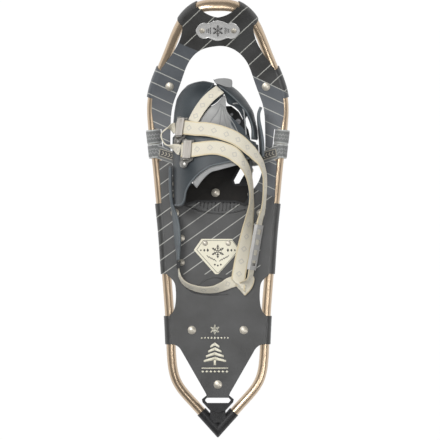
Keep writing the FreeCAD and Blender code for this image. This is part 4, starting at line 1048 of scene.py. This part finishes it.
# Engraved on the badge: its rim, a snowflake, lozenges and short strokes.
BADGE_LIFT = 1.65
ENGRAVING = (BADGE_LIFT, BADGE_LIFT + 0.10)
badge_art = Gather()
BADGE_RIM = [(-19.5, -28.0), (19.5, -28.0), (28.3, -40.4), (1.4, -70.6), (-1.4, -70.6), (-28.3, -40.4)]
for (x0, y0), (x1, y1) in zip(BADGE_RIM, BADGE_RIM[1:] + BADGE_RIM[:1]):
    bar(badge_art, (x0, y0), (x1, y1), 0.55, *ENGRAVING)
snowflake(badge_art, 0, -42.5, 9.0, 1.2, *ENGRAVING)
for side in (-1, 1):
    for step in range(3):
        half_wide, half_tall = 1.6 - 0.25 * step, 2.6 - 0.5 * step
        lozenge(badge_art, side * (13.5 + step * 4.6), -41.0, half_wide, half_tall, *ENGRAVING)
    for step in range(4):
        start = Vector((side * (2.0 + step * 3.2), -56.0 + step * 1.6))
        bar(badge_art, start, start + Vector((side * 3.2, 3.4)), 0.9, *ENGRAVING)
for step in (-1, 0, 1):
    lozenge(badge_art, step * 4.0, -61.5 + abs(step) * 1.2, 1.5, 1.5, *ENGRAVING)
badge_art = badge_art.done("badge_engraving", INK, "frame")

# The emblem plate: rings from its outline to its middle, at heights that make a raised rim.
PLATE_EDGE = [(0, 263.6), (7, 262.0), (13, 259.6), (19, 260.6), (25, 257.8), (29.2, 250.4), (25, 243.0),
              (19, 240.2), (13, 241.2), (7, 238.9), (0, 237.5)]
PLATE_MIDDLE = Vector((0, 250.4))
PLATE_RINGS = [(1.0, 0.1), (1.0, 1.35), (0.985, 1.62), (0.93, 1.66), (0.90, 1.42), (0.70, 1.42),
               (0.45, 1.42), (0.2, 1.42)]
edge = PLATE_EDGE + [(-x, y) for x, y in reversed(PLATE_EDGE[1:-1])]
edge = [(x, y) for x, y, unused in spline([(x, y, 0) for x, y in edge + edge[:1]], 0.8)[0][:-1]]
points, faces = [], []
for scale, lift in PLATE_RINGS:
    points += [on_deck(PLATE_MIDDLE.x + (x - PLATE_MIDDLE.x) * scale,
                       PLATE_MIDDLE.y + (y - PLATE_MIDDLE.y) * scale, lift) for x, y in edge]
points.append(on_deck(*PLATE_MIDDLE, 1.42))
size = len(edge)
for ring in range(len(PLATE_RINGS) - 1):
    for step in range(size):
        other = (step + 1) % size
        faces.append((ring * size + step, ring * size + other, (ring + 1) * size + other,
                      (ring + 1) * size + step))
last = (len(PLATE_RINGS) - 1) * size
faces += [(last + step, last + (step + 1) % size, len(points) - 1) for step in range(size)]
faces.append(tuple(reversed(range(size))))
plate = mesh_object("emblem_plate", points, faces, MATS["emblem_metal"])
fix_normals(plate)
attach(plate, "frame")
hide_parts("nose_plate")

# Inlaid on the emblem plate: a snowflake between two sets of bars.
emblem = Gather()
snowflake(emblem, 0, 250.4, 7.2, 1.1, 1.4, 1.75)
for side in (-1, 1):
    for step in range(3):
        x = side * (9.6 + step * 2.4)
        bar(emblem, (x, 246.4 + step * 0.8), (x, 254.4 - step * 0.8), 0.9, 1.4, 1.7)
emblem = emblem.done("nose_emblem", INK, "frame")

# Moulded in the deck: a ribbed lens behind the footbed, and curves round the heel strap.
emboss = Gather()
LENS_TOP = [(-48, 20.0), (-30, 25), (10, 26.5), (30, 29.7)]
LENS_LOW = [(-48, 20.0), (-40, 17.5), (-17, 10), (10, 8), (37, 13.5)]
for line in (LENS_TOP, LENS_LOW):
    deck_bead(emboss, line, 1.1, -0.45)
for step in range(13):
    x = -34.0 + step * 5.0
    low = 9.2 + 0.010 * (x - 2) ** 2
    deck_bead(emboss, [(x, low + 2.0), (x + 0.6, (low + 24.0) / 2), (x + 1.2, 23.2)], 0.9, -0.45)
HEEL_WAVE = [(-44, -84), (-36, -91), (-27, -88), (-14, -80), (-4, -77.5), (6, -80), (18, -88)]
HEEL_CURVE = [(-45, -78), (-43, -90), (-32, -98), (-10, -101), (14, -100)]
for line in (HEEL_WAVE, HEEL_CURVE):
    deck_bead(emboss, line, 1.0, -0.6)
emboss = emboss.done("deck_ridges", MATS["deck_skin"], "frame")

# ================================================================ softer edges on the CAD pieces
for label, width in (("lever_front", 0.5), ("lever_rear", 0.5), ("strap_slider", 0.5), ("heel_loop", 0.7),
                     ("base_plate", 0.4), ("footbed", 0.4), ("badge", 0.3), ("buckle_base_front", 0.25),
                     ("buckle_base_rear", 0.25), ("nose_plate", 0.3), ("toe_crampon", 0.3),
                     ("heel_crampon", 0.3)):
    soften(NODES[label], width * MM)

# ================================================================ floor, light and camera
floor_mat = Shader("floor_white", (0.02, 0.02, 0.02), 1.0, Specular_IOR_Level=0.0)
floor_mat.bsdf.inputs["Emission Color"].default_value = (1.0, 1.0, 1.0, 1)
floor_mat.bsdf.inputs["Emission Strength"].default_value = 1.0
FLOOR_HALF, FLOOR_LEVEL = 30.0, -0.0012
floor_corners = [(x * FLOOR_HALF, y * FLOOR_HALF, FLOOR_LEVEL)
                 for x, y in ((-1, -1), (1, -1), (1, 1), (-1, 1))]
floor = mesh_object("floor", floor_corners, [(0, 1, 2, 3)], floor_mat.mat, smooth=False)

SKY_COLOR, SKY_STRENGTH = (0.93, 0.95, 1.0, 1), 0.13
world = bpy.data.worlds.new("studio")
bpy.context.scene.world = world
world.use_nodes = True
world.node_tree.nodes["Background"].inputs[0].default_value = SKY_COLOR
world.node_tree.nodes["Background"].inputs[1].default_value = SKY_STRENGTH


def softbox(name, place, aim, wide, tall, watts, tint=(1.0, 1.0, 1.0)):
    data = bpy.data.lights.new(name, "AREA")
    data.shape = "RECTANGLE"
    data.size, data.size_y = wide, tall
    data.energy = watts
    data.color = tint
    lamp = bpy.data.objects.new(name, data)
    bpy.context.scene.collection.objects.link(lamp)
    lamp.location = place
    lamp.rotation_euler = (Vector(aim) - Vector(place)).to_track_quat("-Z", "Y").to_euler()
    return lamp


softbox("key", (-0.9, 0.9, 2.2), (0, 0, 0), 0.7, 1.3, 50)
softbox("top", (0.25, 0.1, 3.0), (0, 0, 0), 0.8, 1.4, 13)
softbox("rim", (1.3, -0.6, 1.6), (0, 0, 0), 0.5, 1.2, 12)

camera_data = bpy.data.cameras.new("camera")
camera_data.lens = 242.0
camera_data.sensor_width = 36.0
camera_data.clip_end = 100.0
camera = bpy.data.objects.new("camera", camera_data)
camera.location = (0.0029, -0.0005, 4.0)
bpy.context.scene.collection.objects.link(camera)
bpy.context.scene.camera = camera
bpy.context.scene.view_settings.view_transform = "Standard"
